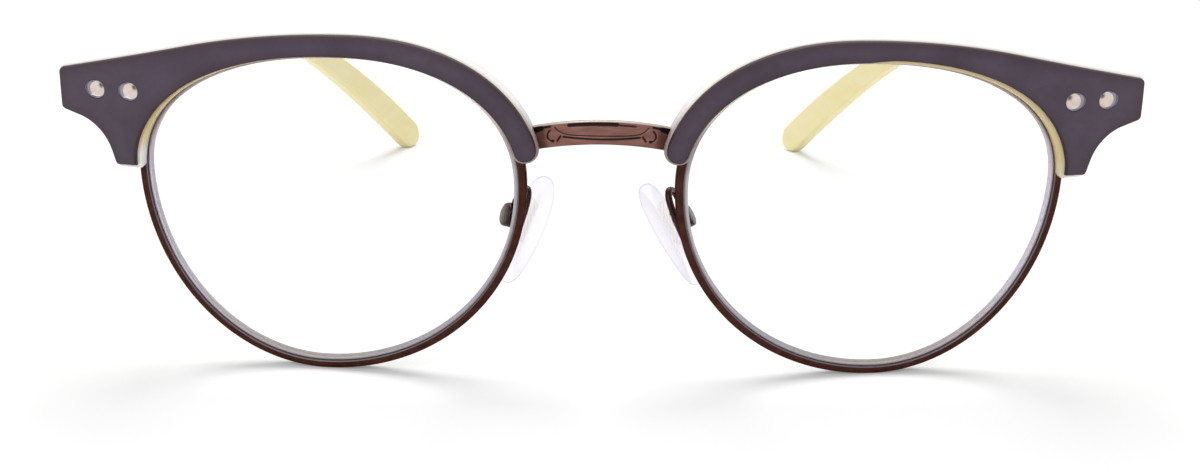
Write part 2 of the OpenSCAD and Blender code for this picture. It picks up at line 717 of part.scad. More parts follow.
driver_d = 0.25;
module hinge_screw(side) {
    color(silver) on_hinge(side) difference() {
        union() {
            cylinder_up(hinge_screw_d, -hinge_h / 2, hinge_h / 2 + head_t / 2);
            cylinder_up(hinge_screw_d + head_over, hinge_h / 2 + seat, hinge_h / 2 + head_t);
        }
        translate([-barrel_r, -driver_w / 2, hinge_h / 2 + head_t - driver_d])
            cube([2 * barrel_r, driver_w, past]);
    }
}
temple_rivet_in = 1.8;
temple_rivet_ys = [for (back = [temple_rivet_pitch, 0]) temple_plate_l - temple_rivet_in - back];
module temple_plate_space(grow) {
    rotate([-temple_slope, 0, 0])
        translate([barrel_seat - grow, -barrel_r - grow, -temple_plate_h / 2 - grow])
            cube([plate_t, temple_plate_l + barrel_r, temple_plate_h] + 2 * grow * [1, 1, 1]);
}
module temple_rivet_at(y) {
    rotate([-temple_slope, 0, 0]) translate([barrel_seat, y, 0]) rotate([0, 90, 0]) children();
}
module hinge_temple(side) {
    color(silver) on_hinge(side) difference() {
        union() {
            temple_plate_space(0);
            for (i = [1, 3]) {
                knuckle(i);
                translate([0, -web, knuckle_z(i)]) cube([barrel_seat + plate_t / 2, 2 * web, knuckle_h]);
            }
        }
        hinge_bore();
        for (y = temple_rivet_ys) temple_rivet_at(y)
            cylinder_up(rivet_shank_d + 2 * bore_gap, -past, 2 * plate_t);
    }
}

// Temples: two sheets laminated, bowed inwards, with a flat wire core in the pale one
bow_centre = [temple_out - temple_bow, butt_y];
module bow_shell(r, t) {
    translate([bow_centre[0], bow_centre[1], -reach]) difference() {
        cylinder(r = r, h = 3 * reach, $fn = bow_fn);
        translate([0, 0, -past]) cylinder(r = r - t, h = 3 * reach + 2 * past, $fn = bow_fn);
    }
}
module temple_prism(points) {
    translate([0, temple_start, hinge_z]) rotate([-temple_slope, 0, 0])
        rotate([90, 0, 90]) linear_extrude(2 * reach) polygon(points);
}
module temple_sheet(depth, t, inset) {
    butt = butt_h / 2 - inset;
    intersection() {
        temple_prism(concat([[-past, butt]], temple_shape(inset), [[-past, -butt]]));
        bow_shell(temple_bow - depth, t);
        translate([0, temple_start, -reach]) cube([2 * reach, 4 * reach, 4 * reach]);
    }
}
// A temple rivet's head ends level with the lowest point of the bowed face round it
function bowed(y) = bow_centre[0] + sqrt(temple_bow * temple_bow - pow(y - butt_y, 2)) - temple_in;
rivet_foot = 0.2;
temple_head_t = 0.6;
module temple_rivet_bodies(grow, longer) {
    for (y = temple_rivet_ys) temple_rivet_at(y) {
        head_end = bowed(hinge_y + y + rivet_head_d / 2);
        cylinder_up(rivet_shank_d + 2 * grow, -rivet_foot, temple_back_t);
        cylinder_up(rivet_head_d + 2 * grow, temple_back_t - temple_head_t - grow, head_end + longer);
    }
}
module temple_outer(side) {
    color(dark) difference() {
        on_temple(side) temple_sheet(0, temple_face_t, temple_inset);
        on_hinge(side) temple_rivet_bodies(bore_gap, past);
    }
}
core_start_gap = 3;
core_end_gap = 9;
core_from = temple_plate_l + core_start_gap;
core_to = temple_l - core_end_gap;
core_inset = temple_face_t + (temple_back_t - core_t) / 2;
function core_s(i, grow) = core_from - grow + (core_to - core_from + 2 * grow) * i / 20;
function core_side(grow) = concat(
    [for (i = [0:20]) side_point(core_s(i, grow), core_h / 2 + grow)],
    [for (i = [20:-1:0]) side_point(core_s(i, grow), -core_h / 2 - grow)]
);
module core_space(grow) {
    intersection() {
        temple_prism(core_side(grow));
        bow_shell(temple_bow - core_inset + grow, core_t + 2 * grow);
    }
}
module temple_inner(side) {
    color(cream) difference() {
        on_temple(side) difference() {
            temple_sheet(temple_face_t, temple_back_t, 0);
            core_space(seat);
        }
        on_hinge(side) {
            temple_plate_space(seat);
            temple_rivet_bodies(bore_gap, past);
        }
    }
}
module temple_core(side) { color(silver) on_temple(side) core_space(0); }
module temple_rivets(side) { color(silver) on_hinge(side) temple_rivet_bodies(0, 0); }

// Pad arm: a bent wire from the rim's back to a round box that is slotted for the pad
function bezier(p, t) =
    pow(1 - t, 3) * p[0] + 3 * t * pow(1 - t, 2) * p[1] + 3 * t * t * (1 - t) * p[2] + pow(t, 3) * p[3];
wire_sides = 10;
wire_foot_z = pad_z - 3;
wire_foot_out = 0.05;
wire_foot = eye_point(180 - eye_angle(wire_foot_z, wire_foot_out), wire_foot_out);
// The wire's bend, from the pivot, the way it runs there, and where it enters the box
wire_bend = [-2.1, -2.2, wire_rise];
wire_back = [0, 1.3, 0];
wire_before = [0.6, 1.8, 0.7];
wire_after = [0.5, 1.5, 0.1];
wire_end = [0.5, 0, 1.1];
wire_above = [0.9, 0, 3.1];
function wire_bends(side) =
    let (foot = [wire_foot[0], ball_y(wire_foot[0], wire_foot_z, rim_back) + 2 * seat, wire_foot_z],
         bend = [pad_x(side), pad_y, pad_z] + wire_bend)
    [[foot, foot + wire_back, bend - wire_before, bend],
     [bend, bend + wire_after, from_pad(side, wire_above), from_pad(side, wire_end)]];
function wire_path(side) = let (b = wire_bends(side))
    concat([for (i = [0:12]) bezier(b[0], i / 12)], [for (i = [1:12]) bezier(b[1], i / 12)]);
function wire_ring(path, i) =
    let (d = unit(path[min(len(path) - 1, i + 1)] - path[max(0, i - 1)]),
         t = i == 0 ? [0, 1, 0] : d, m = unit(cross(t, [1, 0, 0])), n = cross(t, m))
    [for (k = [0:wire_sides - 1]) let (a = 360 * k / wire_sides)
        path[i] + wire_d / 2 * (cos(a) * m + sin(a) * n)];
// Two triangles for each side of a stack of rings, and its two ends
function ring_faces(rings, sides) =
    [for (i = [0:rings - 2]) for (k = [0:sides - 1]) let (n = (k + 1) % sides, a = i * sides)
        each [[a + k, a + sides + k, a + n], [a + n, a + sides + k, a + sides + n]]];
module wire(side) {
    path = wire_path(side);
    rings = len(path);
    polyhedron(
        points = [for (i = [0:rings - 1]) each wire_ring(path, i)],
        faces = concat(
            [[for (k = [0:wire_sides - 1]) k]],
            ring_faces(rings, wire_sides),
            [[for (k = [wire_sides - 1:-1:0]) (rings - 1) * wire_sides + k]]
        )
    );
}
pad_head_over = 0.5;
pad_head_gap = 0.1;
pad_head_t = 0.5;
spot = box_r - 0.35;
module pad_arm(side) {
    color(bronze) difference() {
        union() {
            on_front(side) wire(side);
            on_pad(side) translate([-box_front, 0, 0]) rotate([0, 90, 0])
                cylinder(r = box_r, h = box_front + box_back, $fn = round_fn);
        }
        on_pad(side) {
            translate([-2 * box_r, -slot_w / 2, -2 * box_r])
                cube([2 * box_r + slot_back, slot_w, 4 * box_r]);
            pin_back(pad_screw_d + 2 * bore_gap, -2 * box_r, 2 * box_r);
            pin_back(pad_screw_d + pad_head_over + 2 * pad_head_gap, -2 * box_r, -spot);
        }
    }
}
module pad_screw(side) {
    color(silver) on_pad(side) {
        pin_back(pad_screw_d, -spot - pad_head_t / 2, box_r - pad_head_gap);
        pin_back(pad_screw_d + pad_head_over, -spot - pad_head_t, -spot - seat);
    }
}

// Pad insert: a small plate moulded into the pad, with a lug that rocks on the pad screw
insert_x = -pad_face + pad_t / 2 - insert_t;
module insert_plate(grow) {
    translate([insert_x - grow, -insert_w / 2 - grow, -insert_l / 2 - grow])
        cube([insert_t + 2 * grow, insert_w + 2 * grow, insert_l + 2 * grow]);
}
module pad_insert(side) {
    color(silver) on_pad(side) difference() {
        union() {
            insert_plate(0);
            translate([insert_x + insert_t / 2, -tongue_t / 2, -tongue_r * 0.8])
                cube([-insert_x - insert_t / 2, tongue_t, tongue_r * 1.6]);
            pin_back(2 * tongue_r, -tongue_t / 2, tongue_t / 2);
        }
        pin_back(pad_screw_d + 2 * bore_gap, -tongue_t, tongue_t);
    }
}

// Nose pad: a clear, soft-edged drop, broad above and narrow below
pad_sides = 36;
pad_edge = 0.75;
pad_rings = 7;
function pad_rise(i) = -90 + 180 * i / (pad_rings - 1);
function pad_point(t, inset) =
    [(pad_w / 2 - inset) * sin(t) * (1 + 0.2 * cos(t)), (pad_l / 2 - inset) * cos(t) - pad_drop];
module nose_pad(side) {
    color(clear) on_pad(side) difference() {
        polyhedron(
            points = [for (i = [0:pad_rings - 1]) for (k = [0:pad_sides - 1])
                let (p = pad_point(360 * k / pad_sides, pad_edge * (1 - cos(pad_rise(i)))))
                [-pad_face + pad_t / 2 * sin(pad_rise(i)), p[0], p[1]]],
            faces = concat(
                [[for (k = [0:pad_sides - 1]) k]],
                ring_faces(pad_rings, pad_sides),
                [[for (k = [pad_sides - 1:-1:0]) (pad_rings - 1) * pad_sides + k]]
            )
        );
        insert_plate(seat);
    }
}

bridge();
eyewire(left);  // eyewire_left
eyewire(right);  // eyewire_right
closing_block(left);  // closing_block_left
closing_block(right);  // closing_block_right
closing_screw(left);  // closing_screw_left
closing_screw(right);  // closing_screw_right
lens(left);  // lens_left
lens(right);  // lens_right
brow_face(left);  // brow_face_left
brow_face(right);  // brow_face_right
brow_back(left);  // brow_back_left
brow_back(right);  // brow_back_right
brow_screws(left);  // brow_screws_left
brow_screws(right);  // brow_screws_right
hinge_front(left);  // hinge_front_left
hinge_front(right);  // hinge_front_right
front_rivets(left);  // front_rivets_left
front_rivets(right);  // front_rivets_right
hinge_screw(left);  // hinge_screw_left
hinge_screw(right);  // hinge_screw_right
pad_arm(left);  // pad_arm_left
pad_arm(right);  // pad_arm_right
pad_screw(left);  // pad_screw_left
pad_screw(right);  // pad_screw_right
nose_pad(left);  // nose_pad_left
nose_pad(right);  // nose_pad_right
pad_insert(left);  // pad_insert_left
pad_insert(right);  // pad_insert_right
temple_outer(left);  // temple_outer_left
temple_outer(right);  // temple_outer_right
temple_inner(left);  // temple_inner_left
temple_inner(right);  // temple_inner_right
temple_core(left);  // temple_core_left
temple_core(right);  // temple_core_right
hinge_temple(left);  // hinge_temple_left
hinge_temple(right);  // hinge_temple_right
temple_rivets(left);  // temple_rivets_left
temple_rivets(right);  // temple_rivets_right
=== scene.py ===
import bpy
import numpy as np
from mathutils import Matrix, Vector, geometry


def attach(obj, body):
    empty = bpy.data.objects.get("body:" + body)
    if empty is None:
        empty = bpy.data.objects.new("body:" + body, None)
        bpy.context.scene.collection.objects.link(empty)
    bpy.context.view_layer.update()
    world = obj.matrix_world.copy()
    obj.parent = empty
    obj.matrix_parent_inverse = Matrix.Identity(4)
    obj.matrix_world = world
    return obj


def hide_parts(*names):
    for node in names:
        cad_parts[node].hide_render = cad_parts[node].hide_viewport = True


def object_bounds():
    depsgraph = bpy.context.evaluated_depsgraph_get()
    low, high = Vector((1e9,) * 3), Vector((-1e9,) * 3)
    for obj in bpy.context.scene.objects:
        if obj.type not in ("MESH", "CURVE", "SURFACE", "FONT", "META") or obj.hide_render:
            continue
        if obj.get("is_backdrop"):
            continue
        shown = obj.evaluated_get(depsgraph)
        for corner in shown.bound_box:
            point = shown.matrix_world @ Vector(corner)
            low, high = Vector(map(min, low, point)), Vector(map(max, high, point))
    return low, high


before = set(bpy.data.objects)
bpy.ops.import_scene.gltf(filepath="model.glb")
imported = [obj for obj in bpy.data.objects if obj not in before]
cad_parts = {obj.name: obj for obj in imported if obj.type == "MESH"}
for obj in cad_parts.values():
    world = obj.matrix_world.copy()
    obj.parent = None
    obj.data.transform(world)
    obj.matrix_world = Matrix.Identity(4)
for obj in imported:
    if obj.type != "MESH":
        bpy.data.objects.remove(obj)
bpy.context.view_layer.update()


# The front. Everything on the front is drawn in its own frame, in millimetres: x across,
# y the depth, z up the front. Each side lies on a ball of radius 130 mm, and the whole
# front then leans 3.5 degrees forward and stands on its two rims.
lean = np.radians(3.5)
rest_height = 0.43354
middle_y = 72.7671
butt_y = 12.9798
hinge_height = 37.5063
ball_radius = 130
ball_x, ball_back, ball_z = 21.6, 131.7, 22.8
sides = ((1, "left"), (-1, "right"))


def ball_y(x, z, depth):
    """Depth of the ball: back - sqrt((radius - depth)^2 - (x - its x)^2 - (z - its z)^2)."""
    return ball_back - np.sqrt((ball_radius - depth) ** 2 - (x - ball_x) ** 2 - (z - ball_z) ** 2)


def stood(points, side):
    """Front frame to the world: (side x, y cos a - z sin a - middle, y sin a + z cos a - rest)."""
    x, y, z = points[:, 0], points[:, 1], points[:, 2]
    up = y * np.sin(lean) + z * np.cos(lean) - rest_height
    return np.stack([side * x, y * np.cos(lean) - z * np.sin(lean) - middle_y, up], 1) / 1000


wide_z = 26.5
half_width, half_top, half_bottom = 24.6, 16.85, 25.9
eye_x, apex_top, apex_bottom = 34.55, 32.5, 37.0
top_power = 1.1


def eye(angle, grow):
    """Eye shape: apex + sign(cos)(w + grow)|cos|^p and widest + sign(sin)(h + grow)|sin|^p."""
    c, s = np.cos(angle), np.sin(angle)
    c, s = np.where(abs(c) < 1e-9, 0, c), np.where(abs(s) < 1e-9, 0, s)
    up = s >= 0
    power = np.where(up, 1 / top_power, 1.0)
    apex = np.where(up, apex_top, apex_bottom)
    wide = half_width + np.where(c >= 0, 1, -1) * (eye_x - apex) + grow
    tall = np.where(up, half_top, half_bottom) + grow
    x = apex + np.sign(c) * wide * abs(c) ** power
    return np.stack([x, wide_z + np.sign(s) * tall * abs(s) ** power], -1)


def eye_angle(z, grow):
    """Angle where the eye shape passes a height on the temple side: arcsin((|up| / h)^(1 / p))."""
    tall, power = (half_top, top_power) if z >= wide_z else (half_bottom, 1.0)
    return np.sign(z - wide_z) * np.arcsin((abs(z - wide_z) / (tall + grow)) ** power)


def ring_faces(rows, columns):
    """Quads between rings of points, each ring closed on itself."""
    i = np.arange(rows - 1)[:, None]
    j = np.arange(columns)[None, :]
    a, b = i * columns + j, i * columns + (j + 1) % columns
    c, d = (i + 1) * columns + (j + 1) % columns, (i + 1) * columns + j
    return np.stack([a, b, c, d], -1).reshape(-1, 4)


def tube_faces(rows, columns, way=1):
    """Quads between rings and a face over each end, wound one way or the other."""
    last = (rows - 1) * columns
    ends = [list(range(columns))[::-way], list(range(last, last + columns))[::way]]
    return ring_faces(rows, columns).tolist() + ends


def solid(name, points, faces, body, materials, which=None, smooth=35):
    """A closed mesh in metres whose normals are turned outwards and smoothed under an angle."""
    mesh = bpy.data.meshes.new(name)
    mesh.from_pydata(points.tolist(), [], [list(map(int, f)) for f in faces])
    for material in materials:
        mesh.materials.append(material)
    if which is not None:
        mesh.polygons.foreach_set("material_index", np.asarray(which, dtype=np.int32))
    piece = bpy.data.objects.new(name, mesh)
    bpy.context.scene.collection.objects.link(piece)
    bpy.context.view_layer.objects.active = piece
    bpy.ops.object.select_all(action="DESELECT")
    piece.select_set(True)
    bpy.ops.object.mode_set(mode="EDIT")
    bpy.ops.mesh.select_all(action="SELECT")
    bpy.ops.mesh.normals_make_consistent(inside=False)
    bpy.ops.object.mode_set(mode="OBJECT")
    bpy.ops.object.shade_smooth_by_angle(angle=np.radians(smooth))
    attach(piece, body)
    return piece


def finish_of(name, colour, roughness, **sockets):
    """A material whose even values sit on the shader's own sockets."""
    material = bpy.data.materials.new(name)
    material.use_nodes = True
    shader = material.node_tree.nodes["Principled BSDF"]
    shader.inputs["Base Color"].default_value = (*colour, 1)
    shader.inputs["Roughness"].default_value = roughness
    for socket, value in sockets.items():
        shader.inputs[socket.replace("_", " ")].default_value = value
    return material


def grain(material, kind, stretch=(1, 1, 1), **sockets):
    """A noise or cell pattern on the piece's own coordinates, stretched along its axes."""
    tree = material.node_tree
    place = tree.nodes.new("ShaderNodeTexCoord")
    scale = tree.nodes.new("ShaderNodeMapping")
    scale.inputs["Scale"].default_value = stretch
    pattern = tree.nodes.new(kind)
    for socket, value in sockets.items():
        pattern.inputs[socket.replace("_", " ")].default_value = value
    tree.links.new(place.outputs["Object"], scale.inputs["Vector"])
    tree.links.new(scale.outputs["Vector"], pattern.inputs["Vector"])
    return pattern


def ramp(material, source, stops):
    """Turns a pattern's value into a colour by way of stops of (place, colour)."""
    node = material.node_tree.nodes.new("ShaderNodeValToRGB")
    bar = node.color_ramp.elements
    while len(bar) < len(stops):
        bar.new(0.5)
    for element, (place, colour) in zip(bar, stops):
        element.position = place
        element.color = (*colour, 1)
    material.node_tree.links.new(source, node.inputs["Fac"])
    return node.outputs["Color"]


def coloured(material, source):
    """Base colour from a source."""
    shader = material.node_tree.nodes["Principled BSDF"]
    material.node_tree.links.new(source, shader.inputs["Base Color"])


def tint(material, source, base, other):
    """Base colour between two colours by the strength of a source."""
    mix = material.node_tree.nodes.new("ShaderNodeMix")
    mix.data_type = "RGBA"
    links = material.node_tree.links
    links.new(source, mix.inputs[0])
    for socket, colour in ((mix.inputs[6], base), (mix.inputs[7], other)):
        if isinstance(colour, tuple):
            socket.default_value = (*colour, 1)
        else:
            links.new(colour, socket)
    coloured(material, mix.outputs[2])
    return mix.outputs[2]


def span(material, source, low, high, from_low=0.0, from_high=1.0):
    """Maps a source from one range to another."""
    node = material.node_tree.nodes.new("ShaderNodeMapRange")
    for socket, value in zip(node.inputs[1:5], (from_low, from_high, low, high)):
        socket.default_value = value
    material.node_tree.links.new(source, node.inputs["Value"])
    return node.outputs["Result"]


def relief(material, source, height):
    """Bump of a given height in metres from a source."""
    bump = material.node_tree.nodes.new("ShaderNodeBump")
    bump.inputs["Distance"].default_value = height
    bump.inputs["Strength"].default_value = 1.0
    links = material.node_tree.links
    links.new(source, bump.inputs["Height"])
    links.new(bump.outputs["Normal"], material.node_tree.nodes["Principled BSDF"].inputs["Normal"])


def painted(piece, name, values):
    """A value at each vertex that the piece's material reads."""
    attribute = piece.data.attributes.new(name, "FLOAT", "POINT")
    attribute.data.foreach_set("value", np.asarray(values, dtype=np.float32))


def reads(material, name):
    """The piece's own vertex value as a source."""
    node = material.node_tree.nodes.new("ShaderNodeAttribute")
    node.attribute_name = name
    return node.outputs["Fac"]


# Eyewires. A drawn bronze-lacquered wire with a groove inside for the lens, bent to the
# eye shape, brazed shut but for a saw cut behind the lug, with two ears for the brow
# screws. The outer edge is painted near black, and the ears half as much, as worn lacquer
# and as painted shade. The inner wall is slate grey.
bronze = finish_of("bronze_lacquer", (0.06, 0.021, 0.014), 0.4, Metallic=0.6, Specular_IOR_Level=0.05,
                   Specular_Tint=(0.6, 0.36, 0.3, 1))
drawn = grain(bronze, "ShaderNodeTexNoise", Scale=900.0, Detail=4.0)
mottled = ramp(bronze, drawn.outputs["Fac"], [(0.3, (0.045, 0.015, 0.01)), (0.7, (0.075, 0.028, 0.02))])
# Near black along the outer edge and on the ears: worn lacquer and painted shade.
edged = tint(bronze, reads(bronze, "edge_wear_and_shade"), mottled, (0.004, 0.003, 0.003))
tint(bronze, reads(bronze, "slate"), edged, (0.2, 0.185, 0.2))
relief(bronze, drawn.outputs["Fac"], 0.000006)


def rounded(low, high, radii, steps):
    """A rectangle from low to high corner with a radius for each of its four corners."""
    corners = [(low[0], low[1]), (high[0], low[1]), (high[0], high[1]), (low[0], high[1])]
    inward = [(1, 1), (-1, 1), (-1, -1), (1, -1)]
    starts = [np.pi, 1.5 * np.pi, 0, 0.5 * np.pi]
    t = np.linspace(0, np.pi / 2, steps)
    arcs = [
        np.stack([c[0] + i[0] * r + r * np.cos(s + t), c[1] + i[1] * r + r * np.sin(s + t)], 1)
        for c, i, s, r in zip(corners, inward, starts, radii)
    ]
    return np.concatenate(arcs)


rim_section = rounded((-0.5, 2.4), (0.6, 4.4), (0.16, 0.28, 0.3, 0.2), 7)
rim_section = np.concatenate([rim_section, [[-0.5, 3.8], [0.0, 3.75], [0.0, 3.05], [-0.5, 3.0], [-0.5, 2.7]]])
saw_cut = eye_angle(30.4, 0.0)
rim_angles = np.linspace(saw_cut + 0.002, saw_cut + 2 * np.pi - 0.002, 400)


def lathe(origin, axis, profile, steps=40):
    """A profile of (radius, distance along the axis) turned round an axis; ends are closed."""
    axis = axis / np.linalg.norm(axis)
    side = np.cross(axis, [0.0, 0.0, 1.0] if abs(axis[2]) < 0.9 else [1.0, 0.0, 0.0])
    side /= np.linalg.norm(side)
    t = np.linspace(0, 2 * np.pi, steps, endpoint=False)
    ring = np.cos(t)[:, None] * side + np.sin(t)[:, None] * np.cross(axis, side)
    profile = np.asarray(profile, float)
    points = origin + profile[:, :1, None] * ring + profile[:, 1:, None] * axis
    return points.reshape(-1, 3), tube_faces(len(profile), steps)


def joined(*parts):
    """Several meshes as one list of points and faces."""
    points, faces, first = [], [], 0
    for p, f in parts:
        points.append(p)
        faces += [[k + first for k in face] for face in f]
        first += len(p)
    return np.concatenate(points), faces


def square_to_ball(spot):
    """The ball's surface point at (x, z) and the direction to its centre."""
    origin = np.array([spot[0], ball_y(spot[0], spot[1], 0), spot[1]])
    return origin, (np.array([ball_x, ball_back, ball_z]) - origin) / ball_radius


ear_spots = [eye(np.radians(a), 1.5) for a in (140, 52)]
ear = [(1.0, 3.83), (1.3, 3.9), (1.34, 4.0), (1.34, 4.25), (1.25, 4.36), (1.1, 4.4)]
for side, name in sides:
    path = eye(rim_angles[:, None], rim_section[None, :, 0])
    depth = np.broadcast_to(rim_section[None, :, 1], path.shape[:2])
    wire = np.stack([path[..., 0], ball_y(path[..., 0], path[..., 1], depth), path[..., 1]], -1)
    ring = (wire.reshape(-1, 3), tube_faces(len(wire), len(rim_section), -1))
    ears = [lathe(*square_to_ball(spot), ear) for spot in ear_spots]
    points, faces = joined(ring, *ears)
    rim = solid(f"rim_{name}", stood(points, side), faces, "front", [bronze], smooth=50)
    rest = len(points) - len(ring[0])
    # Painted shade, with wear, on the outer edge of the wire; half as much on the ears.
    edge = np.clip((rim_section[:, 0] - 0.46) / 0.1, 0, 1)
    bevel = np.clip((-0.36 - rim_section[:, 0]) / 0.08, 0, 1)
    painted(rim, "edge_wear_and_shade", np.concatenate([np.tile(edge, len(wire)), np.full(rest, 0.5)]))
    painted(rim, "slate", np.concatenate([np.tile(bevel, len(wire)), np.zeros(rest)]))
    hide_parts(f"eyewire_{name}")


# Lenses. Clear curved blanks, 1.5 mm thick. The ground edge is a frosted pale grey that
# shows as a narrow band inside the rim, and its tongue sits in the rim's groove. The band
# carries painted shade: darker towards the bottom and on the lower nose side. A coating
# keeps their faces from reflecting much, which a low index of refraction stands for.
clear = finish_of("clear_lens", (1.0, 1.0, 1.0), 0.0, IOR=1.08, Transmission_Weight=1.0)


def any_ray(tree, *kinds):
    """A source that is 1 for rays of any of the named kinds and 0 for all others."""
    light = tree.nodes.new("ShaderNodeLightPath")
    found = light.outputs[kinds[0]]
    for kind in kinds[1:]:
        either = tree.nodes.new("ShaderNodeMath")
        either.operation = "MAXIMUM"
        tree.links.new(found, either.inputs[0])
        tree.links.new(light.outputs[kind], either.inputs[1])
        found = either.outputs[0]
    return found


def lets_light_by(material, colour):
    """Shadow rays and diffuse bounces pass straight through, tinted by a colour."""
    tree = material.node_tree
    open_air = tree.nodes.new("ShaderNodeBsdfTransparent")
    open_air.inputs[0].default_value = (*colour, 1)
    either = tree.nodes.new("ShaderNodeMixShader")
    tree.links.new(any_ray(tree, "Is Shadow Ray", "Is Diffuse Ray"), either.inputs[0])
    tree.links.new(tree.nodes["Principled BSDF"].outputs[0], either.inputs[1])
    tree.links.new(open_air.outputs[0], either.inputs[2])
    tree.links.new(either.outputs[0], tree.nodes["Material Output"].inputs["Surface"])


lets_light_by(clear, (0.97, 0.97, 0.98))
coating = grain(clear, "ShaderNodeTexNoise", Scale=60.0)
tint(clear, coating.outputs["Fac"], (1.0, 1.0, 1.0), (0.985, 0.99, 1.0))
ground = finish_of("ground_lens_edge", (0.7, 0.68, 0.72), 0.6)
frost = grain(ground, "ShaderNodeTexNoise", Scale=2500.0, Detail=3.0)
apart = ground.node_tree.nodes.new("ShaderNodeSeparateXYZ")
place = ground.node_tree.nodes.new("ShaderNodeTexCoord")
ground.node_tree.links.new(place.outputs["Object"], apart.inputs["Vector"])
# Painted shade: the band darkens towards the bottom of the lens.
height = span(ground, apart.outputs["Z"], 0.0, 1.0, 0.002, 0.03)
pale = ramp(ground, height, [(0.0, (0.66, 0.61, 0.6)), (0.35, (0.84, 0.8, 0.85)), (1.0, (0.93, 0.88, 0.95))])
# Painted shade on the band's lower nose side.
greyer = tint(ground, reads(ground, "nasal_shade"), pale, (0.6, 0.57, 0.62))
tint(ground, span(ground, frost.outputs["Fac"], 0.0, 0.25, 0.4, 0.8), greyer, (0.36, 0.35, 0.38))
relief(ground, frost.outputs["Fac"], 0.00001)

lens_heart = [eye_x, 24.0]
lens_steps, face_rings, edge_rings = 240, 14, 8
reach = np.linspace(0.02, 0.981, face_rings)
inset = np.full(face_rings, -0.54)
lens_rings = np.concatenate([
    np.stack([inset, np.full(face_rings, 2.65), reach], 1),
    [[-0.54, 2.9, 1.0], [-0.52, 2.95, 1.0], [-0.52, 3.0, 1.0], [-0.03, 3.07, 1.0], [-0.03, 3.73, 1.0],
     [-0.52, 3.8, 1.0], [-0.52, 4.05, 1.0], [-0.54, 4.15, 1.0]],
    np.stack([inset, np.full(face_rings, 4.15), reach[::-1]], 1),
])
for side, name in sides:
    turn = np.linspace(0, 2 * np.pi, lens_steps, endpoint=False)
    spread = eye(turn[None, :], lens_rings[:, :1]) - lens_heart
    flat = lens_heart + lens_rings[:, 2][:, None, None] * spread
    depth = np.broadcast_to(lens_rings[:, 1][:, None], flat.shape[:2])
    glass = np.stack([flat[..., 0], ball_y(flat[..., 0], flat[..., 1], depth), flat[..., 1]], -1)
    rows = len(lens_rings)
    faces = tube_faces(rows, lens_steps)
    row_of = np.repeat(np.arange(rows - 1), lens_steps)
    on_edge = (row_of >= face_rings - 1) & (row_of < face_rings + edge_rings)
    which = np.concatenate([on_edge.astype(int), [0, 0]])
    lens = solid(f"lens_blank_{name}", stood(glass.reshape(-1, 3), side), faces, "front",
                 [clear, ground], which, smooth=30)
    over = np.degrees(turn) % 360
    # Painted shade on the lower nose side of the band.
    nasal = np.clip((over - 150) / 20, 0, 1) * np.clip((262 - over) / 25, 0, 1)
    painted(lens, "nasal_shade", 0.75 * np.tile(nasal, rows))
    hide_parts(f"lens_{name}")


# Brow facings. The dark matte sheet of the laminate, 0.8 mm thick, milled to the brow's
# outline with its edge eased back so that the pale sheet shows round it. Two holes take
# the rivet heads, and a few pale specks are scattered over the surface.
matte = finish_of("dark_matte_acetate", (0.062, 0.048, 0.07), 0.55, Specular_IOR_Level=0.35)
cloud = grain(matte, "ShaderNodeTexNoise", Scale=160.0, Detail=6.0, Roughness=0.6)
cloudy = ramp(matte, cloud.outputs["Fac"], [(0.3, (0.056, 0.038, 0.062)), (0.7, (0.086, 0.062, 0.095))])
specks = grain(matte, "ShaderNodeTexVoronoi", Scale=140.0)
speck = span(matte, specks.outputs["Distance"], 1.0, 0.0, 0.018, 0.03)
edged = tint(matte, reads(matte, "edge_wear_and_shade"), cloudy, (0.034, 0.012, 0.012))
tint(matte, speck, edged, (0.55, 0.53, 0.58))
brushed = grain(matte, "ShaderNodeTexNoise", Scale=3200.0, Detail=2.0)
relief(matte, brushed.outputs["Fac"], 0.000004)


def corner(a, p, b, r, n=12):
    """A corner of an outline rounded to a radius, as points from one side to the other."""
    d1, d2 = (a - p) / np.linalg.norm(a - p), (b - p) / np.linalg.norm(b - p)
    half = np.arccos(d1 @ d2) / 2
    centre = p + (d1 + d2) / np.linalg.norm(d1 + d2) * r / np.sin(half)
    s, e = p + d1 * r / np.tan(half) - centre, p + d2 * r / np.tan(half) - centre
    start = np.arctan2(s[1], s[0])
    sweep = (np.arctan2(e[1], e[0]) - start + np.pi) % (2 * np.pi) - np.pi
    t = start + sweep * np.linspace(0, 1, n)
    return centre + r * np.stack([np.cos(t), np.sin(t)], 1)


end_x = 69.65
end_fall = np.radians(12.3)
peak_x, peak_z, peak_radius = 31.5, 45.9, 94
nose_x = 7.0
tip_z, lug_z = 30.05, 27.4


def nose_line(t):
    """Brow's nose side: peak x - w|cos t|^p and widest + h|sin t|^p, with p as on the eye's top."""
    wide, tall, power = peak_x - nose_x, peak_z - wide_z, 1 / top_power
    return np.stack([peak_x - wide * abs(np.cos(t)) ** power, wide_z + tall * abs(np.sin(t)) ** power], -1)


